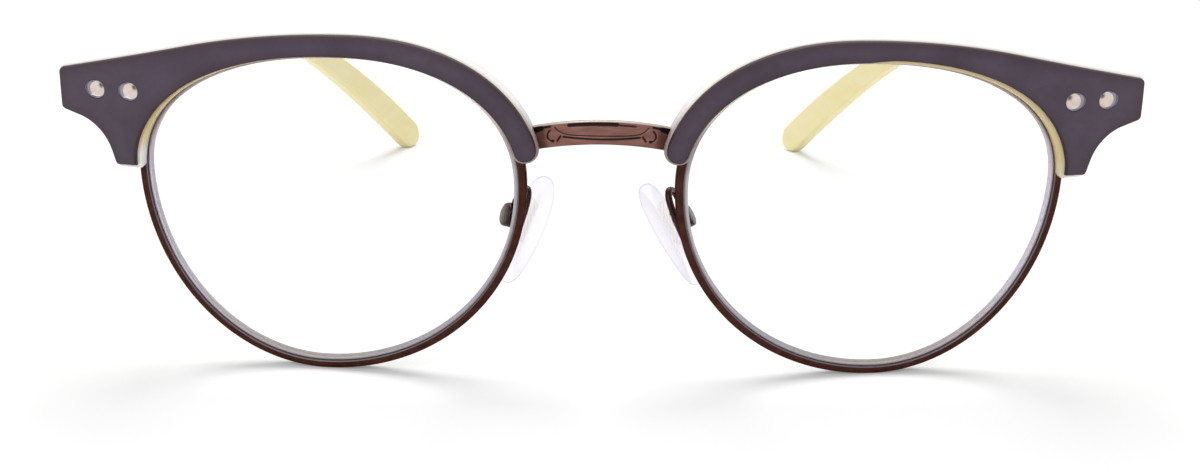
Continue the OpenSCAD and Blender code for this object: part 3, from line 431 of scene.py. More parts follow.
def brow_outline(step):
    """End piece, an arc to the peak, a superellipse to the nose tip, and the eye shape back."""
    a = np.linspace(end_fall, 0, 60)
    arc = np.stack([peak_x + peak_radius * np.sin(a), peak_z - peak_radius * (1 - np.cos(a))], 1)
    run = arc[0]
    top = np.array([end_x, run[1] - (end_x - run[0]) * np.tan(end_fall)])
    middle, low = top - [0, 2.75], top - [0, 5.5]
    tip_a = np.arcsin(((tip_z - wide_z) / (peak_z - wide_z)) ** top_power)
    tip_eye, lug_eye = eye_angle(tip_z, -0.5), eye_angle(lug_z, -0.5)
    tip_in, tip_out, lug_in = eye(np.pi - tip_eye, -0.5), nose_line(tip_a), eye(lug_eye, -0.5)
    lug_out = lug_in + [3.75, 0]
    s, t = np.tan(np.radians(10)), np.tan(np.radians(15))
    k = (low[1] - lug_z - (end_x - lug_out[0]) * t) / (1 - s * t)
    hollow = lug_out + [k * s, k]
    turn = (tip_in[0] - tip_out[0]) * 0.46
    from_a = tip_a + np.radians(8)
    eye_run = eye(np.linspace(np.pi - tip_eye - 0.1, lug_eye + 0.05, 240), -0.5)
    pieces = [
        corner(middle, top, run, 0.9), arc, nose_line(np.linspace(np.pi / 2, from_a, 120))[1:],
        corner(nose_line(from_a), tip_out, tip_in, turn),
        corner(tip_out, tip_in, eye(np.pi - tip_eye - 0.07, -0.5), turn), eye_run,
        corner(eye(lug_eye + 0.05, -0.5), lug_in, lug_out, 0.6),
        corner(lug_in, lug_out, hollow, 1.0), corner(lug_out, hollow, low, 5.6, 30),
        corner(hollow, low, middle, 0.9),
    ]
    line = np.concatenate(pieces + [pieces[0][:1]])
    length = np.concatenate([[0], np.cumsum(np.linalg.norm(np.diff(line, axis=0), axis=1))])
    even = np.arange(0, length[-1] - step / 2, step)
    return np.stack([np.interp(even, length, line[:, k]) for k in (0, 1)], 1)


def drawn_in(outline, inset):
    """The outline moved inwards along its normals, by one inset or one for each point."""
    ahead = np.roll(outline, -1, 0) - np.roll(outline, 1, 0)
    normal = np.stack([-ahead[:, 1], ahead[:, 0]], 1) / np.linalg.norm(ahead, axis=1)[:, None]
    return outline + np.reshape(inset, (-1, 1)) * normal


def inside(points, outline):
    """Even-odd test of points against a closed outline."""
    a, b = outline, np.roll(outline, -1, 0)
    px, pz = points[:, :1], points[:, 1:]
    crosses = (a[:, 1] > pz) != (b[:, 1] > pz)
    rise = np.where(b[:, 1] == a[:, 1], 1e-12, b[:, 1] - a[:, 1])
    at = a[:, 0] + (pz - a[:, 1]) / rise * (b[:, 0] - a[:, 0])
    return (crosses & (px < at)).sum(1) % 2 == 1


def filled(outline, holes, step, extra=None):
    """Triangles over an outline with holes; the outline's and holes' points come first."""
    edge = np.concatenate([outline] + holes)
    low, high = outline.min(0), outline.max(0)
    mesh = np.stack(np.meshgrid(np.arange(low[0], high[0], step), np.arange(low[1], high[1], step)), -1)
    inner = mesh.reshape(-1, 2)
    if extra is not None:
        inner = np.concatenate([inner, extra])
    inner = inner[inside(inner, outline)]
    gap = np.linalg.norm(inner[:, None] - edge[None], axis=2).min(1)
    inner = inner[gap > min(step, 0.5) * 0.6]
    loops, first = [], 0
    for loop in [outline] + holes:
        k = np.arange(len(loop))
        loops.append(first + np.stack([k, (k + 1) % len(loop)], 1))
        first += len(loop)
    given = [Vector(p) for p in np.concatenate([edge, inner]).tolist()]
    result = geometry.delaunay_2d_cdt(given, np.concatenate(loops).tolist(), [], 1, 1e-7)
    points = np.array([tuple(v) for v in result[0]])
    triangles = np.array(result[2])
    middle = points[triangles].mean(1)
    keep = np.ones(len(triangles), bool)
    for hole in holes:
        keep &= ~inside(middle, hole)
    return points, triangles[keep]


def on_ball(flat, depth):
    """Front points on the ball at a depth."""
    return np.stack([flat[:, 0], ball_y(flat[:, 0], flat[:, 1], depth), flat[:, 1]], 1)


outline = brow_outline(0.3)
count = len(outline)


def edge_faces(first_face, walls, rows):
    """Quads round a plate's edge, from its first face through rings of walls to its last face."""
    k = np.arange(count)
    walls_first = len(first_face)
    order = np.concatenate([k, walls_first + np.arange(len(walls)), walls_first + len(walls) + k])
    return order[ring_faces(rows, count)].tolist()


sheet_back = 0.8
rivet_x = (63.9, 59.2)
rivet_z = (37.421, 37.514)
hole_radius, hole_outer = 1.19, 1.62
round_turn = np.linspace(0, 2 * np.pi, 40, endpoint=False)
rivet_holes = [
    np.stack([x + np.cos(-round_turn) * np.where(np.cos(round_turn) > 0, hole_outer, hole_radius),
              z + hole_radius * np.sin(-round_turn)], 1)
    for x, z in zip(rivet_x, rivet_z)
]
facing_edge = [(0.26, sheet_back), (0.27, 0.5), (0.29, 0.25), (0.36, 0.1), (0.46, 0.025), (0.6, 0.0)]
to_eye = np.linalg.norm(outline[:, None] - eye(np.linspace(0, 2 * np.pi, 720), -0.5)[None], axis=2).min(1)
x, z = outline.T
lens_side = to_eye < 0.2
tucked = np.where(lens_side, np.interp(z, [30, 35, 39, 42], [0.16, 0.1, 0.02, -0.08]), 0.0)
temporal = {1: [0.5, 0.44, 0.22], -1: [0.5, 0.16, -0.08]}
for side, name in sides:
    more = np.where(lens_side & (x > 34), np.interp(z, [31, 36, 41], temporal[side]), tucked)
    more = np.where((z < 27.8) & (x > 45), 0.3, more)
    more = np.where((z < 31.5) & (x < 15), 0.14, more)
    more = np.mean([np.roll(more, k) for k in range(-5, 6)], axis=0)
    back, back_faces = filled(drawn_in(outline, facing_edge[0][0] + more), rivet_holes, 1.2)
    face, face_faces = filled(drawn_in(outline, facing_edge[-1][0] + more), rivet_holes, 1.0)
    rings = [on_ball(drawn_in(outline, inset + more), depth) for inset, depth in facing_edge[1:-1]]
    walls = np.concatenate(rings)
    points = np.concatenate([on_ball(back, sheet_back), walls, on_ball(face, 0.0)])
    face_first = len(back) + len(walls)
    faces = edge_faces(back, walls, len(facing_edge))
    first = count
    for hole in rivet_holes:
        k = np.arange(len(hole))
        low, high = first + k, face_first + first + k
        faces += np.stack([low, np.roll(low, -1), np.roll(high, -1), high], 1).tolist()
        first += len(hole)
    faces += back_faces.tolist() + (face_faces + face_first).tolist()
    facing = solid(f"brow_facing_{name}", stood(points, side), faces, "front", [matte],
                   smooth=60)
    edge_wear_and_shade = np.zeros(len(points))
    edge_wear_and_shade[len(back):face_first] = np.repeat([1.0, 1.0, 0.9, 0.5], count)
    edge_wear_and_shade[:len(back)] = 1
    away = np.linalg.norm(face[:, None] - outline[None], axis=2).min(1)
    edge_wear_and_shade[face_first:] = 0.4 * np.clip(1.6 - away, 0, 1)
    painted(facing, "edge_wear_and_shade", edge_wear_and_shade)
    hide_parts(f"brow_face_{name}")


# Brow bodies. The pale milky sheet behind the facing, softly glossy, 3 mm thick. It laps over
# the rim in a rebate and thickens behind the end piece, where the hinge's plate is let in.
# Its sides at the nose tips are darkened to taupe as painted shade.
milky = finish_of("pale_milky_acetate", (0.84, 0.76, 0.52), 0.3, Coat_Weight=0.1, Coat_Roughness=0.08,
                  Specular_IOR_Level=0.3, Subsurface_Weight=0.2, Subsurface_Radius=(1.0, 1.0, 0.9),
                  Subsurface_Scale=0.0006)
streak = grain(milky, "ShaderNodeTexNoise", (1, 1, 3), Scale=45.0, Detail=5.0, Distortion=1.5)
milk = ramp(milky, streak.outputs["Fac"], [(0.3, (0.84, 0.77, 0.52)), (0.7, (0.88, 0.83, 0.64))])
paler = tint(milky, reads(milky, "cut"), milk, (0.98, 0.94, 0.91))
# Painted shade: taupe on the sheet's sides at the nose tips.
duller = tint(milky, reads(milky, "tip_shade"), paler, (0.37, 0.29, 0.27))
golden = tint(milky, reads(milky, "amber"), duller, (0.74, 0.57, 0.24))
butter = ramp(milky, streak.outputs["Fac"], [(0.3, (0.96, 0.82, 0.4)), (0.7, (0.98, 0.88, 0.5))])
tint(milky, reads(milky, "buttery"), golden, butter)

body_back, rebate, rebate_out = 3.8, 2.38, 0.62
slope_x, slope_z = 51.52, 43.74
block_from, block_full, block_low, block_fall = 53.65, 57.65, 33.97, 1.3


def brow_back(flat):
    """Depth of the body's back: even on the ball, less over the rim, and a flat end block."""
    x, z = flat[:, 0], flat[:, 1]
    base = ball_y(x, z, body_back)
    butt = (butt_y - 0.02 + z * np.sin(lean)) / np.cos(lean)
    slope = butt - block_fall * np.clip(block_full - x, 0, None)
    floor = np.clip((z - block_low) / 0.5, 0, 1)
    below_top = slope_z - (x - slope_x) * np.tan(end_fall) - z
    ceiling = np.clip(below_top / 0.9, 0, 1)
    block = base + (np.maximum(slope, base) - base) * floor * ceiling
    block = np.where(x > block_from, block, base)
    over_rim = inside(flat, eye(np.linspace(0, 2 * np.pi, 720, endpoint=False), rebate_out))
    return np.minimum(np.where(over_rim, ball_y(x, z, rebate), block), butt)


seat_angles = np.linspace(0.02, np.pi - 0.02, 500)
seat_lines = np.concatenate([eye(seat_angles, rebate_out + step) for step in (-0.03, 0.03)])
body_rows = [(0.3, 0.0), (0.12, 0.1), (0.02, 0.3), (0.0, 0.5)]
back_rows = [(0.0, 0.42), (0.06, 0.17), (0.18, 0.05), (0.4, 0.0)]
for side, name in sides:
    face, face_faces = filled(drawn_in(outline, body_rows[0][0]), [], 2.0)
    ease = np.clip(to_eye / 0.5, 0.12, 1)
    hind, hind_faces = filled(drawn_in(outline, back_rows[-1][0] * ease), [], 0.6, seat_lines)
    first_rows = [on_ball(drawn_in(outline, inset), sheet_back + down) for inset, down in body_rows[1:]]
    last_rows = []
    for inset, up in back_rows[:-1]:
        flat = drawn_in(outline, inset * ease)
        last_rows.append(np.stack([flat[:, 0], brow_back(flat) - up * ease, flat[:, 1]], 1))
    walls = np.concatenate(first_rows + last_rows)
    behind = np.stack([hind[:, 0], brow_back(hind), hind[:, 1]], 1)
    points = np.concatenate([on_ball(face, sheet_back), walls, behind])
    faces = edge_faces(face, walls, 2 + len(first_rows) + len(last_rows))
    faces += face_faces.tolist() + (hind_faces + len(face) + len(walls)).tolist()
    body = solid(f"brow_body_{name}", stood(points, side), faces, "front", [milky], smooth=40)
    across, up = points[:, 0], points[:, 2]
    flat = points[:, [0, 2]]
    rim_line = eye(np.linspace(0, 2 * np.pi, 360), -0.5)
    by_lens = np.clip(1 - np.linalg.norm(flat[:, None] - rim_line[None], axis=2).min(1) / 1.2, 0, 1)
    by_foot = np.clip((31.5 - up) / 2, 0, 1) * (across > 45) * (side == -1)
    painted(body, "cut", np.maximum(1 - by_lens, by_foot) * 0.95)
    # Painted shade at the nose tips.
    painted(body, "tip_shade", np.clip((16 - across) / 4, 0, 1) * np.clip((38 - up) / 5, 0, 1))
    foot = np.clip((up - 27.6) / 2.5, 0.6, 1) if side == 1 else np.clip((up - 29.5) / 3, 0, 1)
    painted(body, "amber", by_lens * np.clip((across - 20) / 5, 0, 1) * foot)
    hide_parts(f"brow_back_{name}")


# Bridge. A bar stamped from bronze, arched and bowed, brazed behind the rims. Its face is
# struck with a scroll that holds dark lacquer: a slot, two sagging lines, and a hook and a
# stub at each end. A dark wedge at each end and an upright dark line at one, cut in like the
# scroll, are painted shadow where the bar passes behind the brow tips. Its top corner is
# painted paler as a highlight.
stamped = finish_of("stamped_bronze", (0.2, 0.1, 0.08), 0.34, Metallic=0.8)
rolled = grain(stamped, "ShaderNodeTexNoise", (1, 1, 4), Scale=500.0, Detail=4.0)
skin = ramp(stamped, rolled.outputs["Fac"], [(0.3, (0.18, 0.083, 0.066)), (0.7, (0.26, 0.124, 0.1))])
# Painted highlight along the top front corner.
corner_highlight = tint(stamped, reads(stamped, "corner_highlight"), skin, (0.5, 0.42, 0.38))
# The lacquer mask also holds painted shadow where the bar passes behind the brow tips.
tint(stamped, reads(stamped, "lacquer"), corner_highlight, (0.012, 0.007, 0.007))
relief(stamped, rolled.outputs["Fac"], 0.000005)

bar_h, bar_z = 3.05, 32.7
bar_in, bar_out = 18.4, 20.0
arch_radius, bow_heart = 28, 23.2
face_columns = 64
bar_round = rounded((bar_in, 0.0), (bar_out, bar_h), (0.15, 0.15, 0.12, 1.2), 6)
bar_section = np.concatenate([
    np.stack([np.full(face_columns, bar_out), np.linspace(0.15, bar_h - 0.12, face_columns)], 1),
    bar_round[12:],
    np.stack([np.full(6, bar_in), np.linspace(bar_h - 1.2, 0.15, 6)], 1),
    bar_round[:12],
])


def bar_drop(x):
    """Fall of the arch away from the middle: radius - sqrt(radius^2 - x^2)."""
    return arch_radius - np.sqrt(arch_radius**2 - x**2)


def to_lines(spots, lines):
    """Distance of each spot from the nearest of several lines, less the line's half width."""
    best = np.full(len(spots), 9.0)
    for points, width in lines:
        a, d = points[:-1], np.diff(points, axis=0)
        t = np.clip(((spots[:, None] - a) * d).sum(2) / (d**2).sum(1), 0, 1)
        away = np.linalg.norm(spots[:, None] - (a + t[..., None] * d), axis=2).min(1)
        best = np.minimum(best, away - width / 2)
    return best


x = np.linspace(-5.8, 5.8, 61)
lines = [(np.stack([x, bar_h * (0.36 + 0.17 * (x / 5.7) ** 2 + 0.25 * (x / 5.7) ** 8)], 1), 0.11)]
x = np.linspace(-4.7, 4.7, 39)
lines.append((np.stack([x, bar_h * (0.22 + 0.19 * (x / 5) ** 2)], 1), 0.24))
lines.append((np.stack([np.linspace(-4.0, 1.9, 9), np.full(9, bar_h * 0.85)], 1), 0.46))
lines.append((np.stack([np.linspace(1.9, 4.2, 5), np.full(5, bar_h * 0.83)], 1), 0.16))
turn = np.radians(np.linspace(-88, 58, 16))
for way in (-1, 1):
    hook = np.stack([way * (6.0 + 0.75 * np.cos(turn)), bar_h * 0.51 + 0.75 * np.sin(turn)], 1)
    lines += [(hook, 0.17), (hook[:2], 0.34)]
    lines.append((np.array([[way * 5.1, bar_h * 0.43], [way * 5.5, bar_h * 0.25]]), 0.2))
    # Painted shadow: a dark wedge at each end, behind the brow tips.
    lines.append((np.array([[way * 6.4, bar_h * 0.88], [way * 7.6, bar_h * 0.85]]), 0.26))
    lines.append((np.array([[way * 7.6, bar_h * 0.85], [way * 9.3, bar_h * 0.78]]), 0.75))
# Painted shadow: an upright dark line beside one brow tip.
lines.append((np.array([[8.75, bar_h * 0.8], [8.5, bar_h * 0.1]]), 0.25))

v = bar_section[:, 1]
heights = np.clip(bar_z + v - bar_drop(11.3), 31.0, 42)
nose_side = eye(np.linspace(np.pi, np.pi / 2 + 0.3, 300), -0.5)
reach = np.interp(heights, *np.sort(nose_side[:, ::-1].T)) - 0.12
x = np.linspace(-1, 1, 520)[:, None] * reach[None, :]
columns = len(bar_section)
front = np.arange(columns) < face_columns
spots = np.stack([x, np.broadcast_to(v, x.shape)], -1).reshape(-1, 2)
near = to_lines(spots, lines).reshape(x.shape)
scroll_and_shadow = np.where(front[None, :], np.clip(0.5 - near / 0.1, 0, 1), 0)
radius = bar_section[None, :, 0] - 0.12 * scroll_and_shadow
bar = np.stack([x, bow_heart - np.sqrt(radius**2 - x**2), bar_z + v - bar_drop(x)], -1)
faces = tube_faces(len(bar), columns, -1)
bridge = solid("bridge_bar", stood(bar.reshape(-1, 3), 1), faces, "front", [stamped], smooth=50)
painted(bridge, "lacquer", scroll_and_shadow.ravel())
# Painted highlight on the top front corner.
corner_line = np.isin(np.arange(columns), np.arange(face_columns - 1, face_columns + 6)).astype(float)
painted(bridge, "corner_highlight", np.tile(corner_line, len(bar)))
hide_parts("bridge")


# Front rivets. Two bright nickel-silver pins a side, riveted through the end piece into
# the hinge's plate. Each has a flat end in a cup that opens wider on its outer side. The
# cup's wall is painted a darker grey as shade, and a small dark mark at the cup's upper edge
# towards the nose is a painted reflection.
nickel = finish_of("bright_nickel_silver", (0.66, 0.58, 0.55), 0.3, Metallic=0.7)
turned = grain(nickel, "ShaderNodeTexNoise", Scale=1500.0, Detail=3.0)
tone = ramp(nickel, turned.outputs["Fac"], [(0.35, (0.67, 0.57, 0.51)), (0.65, (0.79, 0.68, 0.61))])
# Painted shade on the cup's wall.
shaded = tint(nickel, reads(nickel, "cup"), tone, (0.3, 0.28, 0.34))
# Painted reflection: a small dark mark at the cup's upper edge towards the nose.
tint(nickel, reads(nickel, "notch_reflection"), shaded, (0.12, 0.085, 0.04))
relief(nickel, turned.outputs["Fac"], 0.000004)
rivet_steps = 48
rivet_profile = [(0.02, 0.5), (0.3, 0.5), (0.52, 0.5), (0.74, 0.5), (0.96, 0.5), (1.02, 0.46),
                 (1.07, 0.2), (1.09, 0.06), (1.11, 0.03), (1.14, 0.05), (1.15, 0.15), (1.13, 1.6),
                 (0.7, 1.65)]
in_cup = [0, 0, 0, 0, 0, 1, 1, 1, 0.6, 1, 1, 1, 1, 1]
for side, name in sides:
    parts, cup, notch_reflection = [], [], []
    for x, z in zip(rivet_x, rivet_z):
        y = ball_y(x, z, 0) * np.cos(lean) - z * np.sin(lean)
        profile = rivet_profile + [(0.7, butt_y - y - 0.03)]
        heart = np.array([x, y - middle_y, hinge_height])
        slope = (x - ball_x) / 125
        p, f = lathe(heart, np.array([0.0, 1.0, 0.0]), profile, rivet_steps)
        row = np.arange(len(p)) // rivet_steps
        lip = np.isin(row, (6, 7, 8, 9, 10))
        notch_reflection.append(1.6 - np.linalg.norm(p[:, [0, 2]] - [x - 0.55, hinge_height + 0.5], axis=1) / 0.3)
        p[:, 0] += np.where(lip, 0.4 * np.clip(p[:, 0] - x, 0, None), 0)
        p[:, 1] += np.where(lip, 1.0, np.where(row < 6, 0.3, 0.0)) * (p[:, 0] - x) * slope
        parts.append((p, f))
        cup.append(np.repeat(in_cup, rivet_steps))
    points, faces = joined(*parts)
    points = points * [side, 1, 1] / 1000
    rivets = solid(f"end_rivets_{name}", points, faces, "front", [nickel], smooth=40)
    painted(rivets, "cup", np.concatenate(cup))
    painted(rivets, "notch_reflection", np.clip(np.concatenate(notch_reflection), 0, 1))
    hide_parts(f"front_rivets_{name}")


# Temples. Each is sawn from a laminate of a pale sheet inside and a thin dark sheet
# outside, bowed inwards, bent down behind the ear and tumbled until its edges are soft.
# The dark sheet's edge stands in from the pale one's.
temple_slope = np.radians(4.42737)
temple_start, temple_side = butt_y + 0.06, 69.55
temple_l, straight, cap = 139.6, 76.5, 3.224
bend_by, bend_radius, tail_radius, bow_radius = np.radians(21.5), 32, 225, 385
turn_l = bend_radius * bend_by
bent = straight + turn_l


def along(s):
    """Middle line: straight, then an arc through the bend, then a flatter arc to the tip."""
    bend = np.clip(s - straight, 0, turn_l) / bend_radius
    tail = bend_by + np.clip(s - straight - turn_l, 0, None) / tail_radius
    y = np.minimum(s, straight) + bend_radius * np.sin(bend) + tail_radius * (np.sin(tail) - np.sin(bend_by))
    z = -bend_radius * (1 - np.cos(bend)) - tail_radius * (np.cos(bend_by) - np.cos(tail))
    return y, z, np.where(s < bent, bend, tail)


def half_height(s):
    """Half height: from 5 to 4.4 along the straight, then a smooth swell to 6.2."""
    t = np.clip((s - straight) / (temple_l - straight) * 1.15, 0, 1)
    return np.where(s < straight, 5 - 0.6 * s / straight, 4.4 + 1.8 * t * t * (3 - 2 * t)) / 2


def temple(outer_depth, thick, inset, soft):
    """Sweep of a rounded section; its height closes to nothing over the last 3.2 mm."""
    a = np.linspace(0, np.pi / 2, 26)[1:]
    s = np.concatenate([np.linspace(0, straight, 60), np.linspace(straight, bent, 24)[1:],
                        np.linspace(bent, temple_l - cap, 50)[1:]])
    last = temple_l - cap * (1 - np.sin(a))
    run = np.concatenate([s, last - inset * np.sin(a)])
    shrink = np.concatenate([np.ones(len(s)), np.cos(a)])
    h = (half_height(np.concatenate([s, last])) - inset) * shrink + 1e-4
    signs = np.repeat([(-1, -1), (1, -1), (1, 1), (-1, 1)], 10, axis=0)
    unit = rounded((-1, -1), (1, 1), (1, 1, 1, 1), 10)
    r_in = np.minimum(soft[0], h * 0.95)[:, None]
    r_out = np.minimum(soft[1], h * 0.95)[:, None]
    r = np.where(unit[None, :, 0] < 0, r_out, r_in)
    depth = signs[:, 0] * (thick / 2 - r) + unit[:, 0] * r + thick / 2 + outer_depth
    up = signs[:, 1] * (h[:, None] - r) + unit[:, 1] * r
    y, z, way = along(run)
    py = y[:, None] + up * np.sin(way)[:, None]
    pz = z[:, None] + up * np.cos(way)[:, None]
    wy = temple_start + py * np.cos(temple_slope) + pz * np.sin(temple_slope)
    wy[0] = temple_start
    wz = hinge_height + pz * np.cos(temple_slope) - py * np.sin(temple_slope)
    wx = temple_side - bow_radius + np.sqrt((bow_radius - depth) ** 2 - (wy - butt_y) ** 2)
    points = np.stack([wx, wy - middle_y, wz], -1)
    return points.reshape(-1, 3), tube_faces(*points.shape[:2])


for side, name in sides:
    points, faces = temple(0.6, 2.4, 0.0, (0.75, 0.5))
    inner = solid(f"temple_pale_{name}", points * [side, 1, 1] / 1000, faces, f"temple_{name}",
                  [milky], smooth=50)
    painted(inner, "buttery", np.ones(len(points)))
    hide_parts(f"temple_inner_{name}")
    points, faces = temple(0.0, 0.6, 0.6, (0.05, 0.28))
    outer = solid(f"temple_dark_{name}", points * [side, 1, 1] / 1000, faces, f"temple_{name}",
                  [matte], smooth=50)
    painted(outer, "edge_wear_and_shade", np.zeros(len(points)))
    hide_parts(f"temple_outer_{name}")


# Nose pads. Soft clear silicone drops, 16 by 7.6 mm, a little dished on the face that
# meets the nose, moulded over a gilt insert.
silicone = finish_of("clear_silicone", (0.93, 0.92, 0.97), 0.05, IOR=1.015, Transmission_Weight=1.0)
ripple = grain(silicone, "ShaderNodeTexNoise", Scale=140.0)
rim_glow = silicone.node_tree.nodes.new("ShaderNodeLayerWeight")
rim_glow.inputs["Blend"].default_value = 0.35
skin = ramp(silicone, rim_glow.outputs["Facing"], [(0.0, (0.93, 0.915, 0.965)), (0.4, (0.88, 0.865, 0.91)),
                                                    (0.75, (0.48, 0.44, 0.53))])
tint(silicone, span(silicone, ripple.outputs["Fac"], 0.0, 0.25), skin, (0.9, 0.88, 0.94))
relief(silicone, ripple.outputs["Fac"], 0.00001)
lets_light_by(silicone, (0.9, 0.9, 0.93))

pad_stands = {1: (10.9, 30.0, 9.0), -1: (11.6, 22.0, 20.0)}
pivot_y, pivot_z = 11.6, 20.4


def from_pad(points, side):
    """Pad frame to front frame: turned by the splay, leant by the lean, moved to the pivot."""
    x0, lean_by, splay = pad_stands[side]
    s, f = np.radians(splay), np.radians(lean_by)
    x = points[:, 0] * np.cos(s) + points[:, 1] * np.sin(s)
    y = points[:, 1] * np.cos(s) - points[:, 0] * np.sin(s)
    z = points[:, 2]
    up = x * np.sin(f) + z * np.cos(f)
    return np.stack([x0 + x * np.cos(f) - z * np.sin(f), pivot_y + y, pivot_z + up], 1)


pad_steps, half_thick, half_wide, half_long = 96, 0.93, 3.8, 8.0
turn = np.linspace(0, 2 * np.pi, pad_steps, endpoint=False)
dished = (0.03, 0.25, 0.45, 0.7)
for side, name in sides:
    profile = [(-half_thick + 0.3 * (1 - q * q), q, 0.75) for q in dished]
    profile += [(half_thick * np.sin(b), 1.0, 0.75 * (1 - np.cos(b)))
                for b in np.linspace(-np.pi / 2, np.pi / 2, 17)]
    profile += [(half_thick, q, 0.75) for q in dished[::-1]]
    rings = []
    for height, share, inset in profile:
        wide = (half_wide - inset) * share * np.sin(turn) * (1 + 0.2 * np.cos(turn))
        long = (half_long - inset) * share * np.cos(turn) - 1.6
        rings.append(np.stack([np.full(pad_steps, -2.6 + height), wide, long], 1))
    points = stood(from_pad(np.concatenate(rings), side), side)
    pad = solid(f"pad_silicone_{name}", points, tube_faces(len(profile), pad_steps), f"pad_{name}",
                [silicone], smooth=60)
    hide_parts(f"nose_pad_{name}")


# Pad arms. A bent bronze wire brazed to the rim's back, which ends in a round box that is
# slotted for the pad's lug.
def sweep(path, radius, steps=18):
    """A tube of even radius round a path of points."""
    ahead = np.gradient(path, axis=0)
    ahead /= np.linalg.norm(ahead, axis=1)[:, None]
    m = np.cross(ahead, [1.0, 0.0, 0.0])
    m /= np.linalg.norm(m, axis=1)[:, None]
    n = np.cross(ahead, m)
    t = np.linspace(0, 2 * np.pi, steps, endpoint=False)
    ring = np.cos(t)[None, :, None] * m[:, None] + np.sin(t)[None, :, None] * n[:, None]
    points = path[:, None] + radius * ring
    return points.reshape(-1, 3), tube_faces(len(path), steps)


def bezier(p, n):
    """Cubic curve through its first and last of four points."""
    t = np.linspace(0, 1, n)[:, None]
    p = [np.asarray(q, float) for q in p]
    return (1 - t) ** 3 * p[0] + 3 * t * (1 - t) ** 2 * p[1] + 3 * t * t * (1 - t) * p[2] + t**3 * p[3]


def slab(outline_yz, x0, x1, ease):
    """A flat outline in y and z carried along x, with eased ends."""
    rows = []
    for x, inset in ((x0, ease), (x0 + 0.3 * ease, 0.3 * ease), (x0 + ease, 0.0),
                     (x1 - ease, 0.0), (x1 - 0.3 * ease, 0.3 * ease), (x1, ease)):
        shape = drawn_in(outline_yz, inset)
        rows.append(np.stack([np.full(len(shape), x), shape[:, 0], shape[:, 1]], 1))
    return np.concatenate(rows), tube_faces(len(rows), len(outline_yz))


wire_brown = finish_of("browned_pad_wire", (0.035, 0.016, 0.012), 0.25, Metallic=0.8,
                       Specular_IOR_Level=0.3)
pulled = grain(wire_brown, "ShaderNodeTexNoise", Scale=900.0, Detail=4.0)
browns = [(0.3, (0.028, 0.012, 0.009)), (0.7, (0.05, 0.024, 0.018))]
coloured(wire_brown, ramp(wire_brown, pulled.outputs["Fac"], browns))
relief(wire_brown, pulled.outputs["Fac"], 0.000005)
foot_z, box_radius, half_slot = 17.4, 1.58, 0.45
for side, name in sides:
    foot_x = eye(np.pi - eye_angle(foot_z, 0.05), 0.05)[0]
    foot = np.array([foot_x, ball_y(foot_x, foot_z, 4.4) + 0.02, foot_z])
    bend = np.array([pad_stands[side][0] - 2.1, pivot_y - 2.2, pivot_z + 4.4])
    over = np.array([0.5, 1.5, 0.1])
    end, up = from_pad(np.array([[0.5, 0, 1.1], [0.9, 0, 3.1]]), side)
    first = bezier([foot, foot + [0, 1.3, 0], bend - over * 1.2 - [0, 0, 0.6], bend], 36)
    second = bezier([bend, bend + over, up, end], 36)[1:]
    wire = sweep(np.concatenate([first, second]), 0.46)
    cut = np.arccos(half_slot / box_radius)
    t = np.linspace(-cut, cut, 30)
    cheek = np.stack([box_radius * np.cos(t), box_radius * np.sin(t)], 1)
    whole = np.stack([box_radius * np.cos(round_turn), box_radius * np.sin(round_turn)], 1)
    box = [slab(cheek, -1.18, 1.0, 0.28), slab(cheek * -1, -1.18, 1.0, 0.28), slab(whole, 0.9, 1.38, 0.22)]
    points, faces = joined(wire, *[(from_pad(p, side), f) for p, f in box])
    arm = solid(f"pad_wire_{name}", stood(points, side), faces, "front", [wire_brown], smooth=50)
    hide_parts(f"pad_arm_{name}")


# Small fittings. These keep the CAD's own shapes: bright brushed steel for the hinges, screws
# and temple cores, bronze for the closing blocks, the rivets' nickel silver for the temple
# rivets, and clear with a faint gilt hatch for the pads' inserts.
steel = finish_of("brushed_fitting_steel", (0.72, 0.7, 0.7), 0.28, Metallic=1.0)
lathe_lines = grain(steel, "ShaderNodeTexNoise", (1, 1, 12), Scale=420.0, Detail=5.0)
steely = ramp(steel, lathe_lines.outputs["Fac"], [(0.3, (0.6, 0.58, 0.58)), (0.7, (0.82, 0.8, 0.8))])
coloured(steel, steely)
relief(steel, lathe_lines.outputs["Fac"], 0.000008)

gilt = finish_of("hatched_gilt", (0.9, 0.86, 0.7), 0.1, IOR=1.015, Transmission_Weight=0.97)
hatch = grain(gilt, "ShaderNodeTexWave", Scale=700.0, Distortion=0.5)
gold = ramp(gilt, hatch.outputs["Fac"], [(0.5, (0.98, 0.975, 0.965)), (0.75, (0.93, 0.9, 0.78))])
coloured(gilt, gold)
relief(gilt, hatch.outputs["Fac"], 0.000005)

lacquer = finish_of("block_bronze_lacquer", (0.14, 0.075, 0.058), 0.3, Metallic=0.85)
fleck = grain(lacquer, "ShaderNodeTexNoise", Scale=900.0, Detail=4.0)
browned = ramp(lacquer, fleck.outputs["Fac"], [(0.3, (0.11, 0.055, 0.042)), (0.7, (0.18, 0.1, 0.08))])
coloured(lacquer, browned)

fittings = {
    "closing_block": lacquer, "pad_insert": gilt, "closing_screw": steel, "brow_screws": steel,
    "hinge_front": steel, "hinge_screw": steel, "pad_screw": steel, "temple_core": steel,
    "hinge_temple": steel, "temple_rivets": nickel,
}
for stem, material in fittings.items():
    for side, name in sides:
        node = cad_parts[f"{stem}_{name}"]
        for slot in node.material_slots:
            slot.material = material


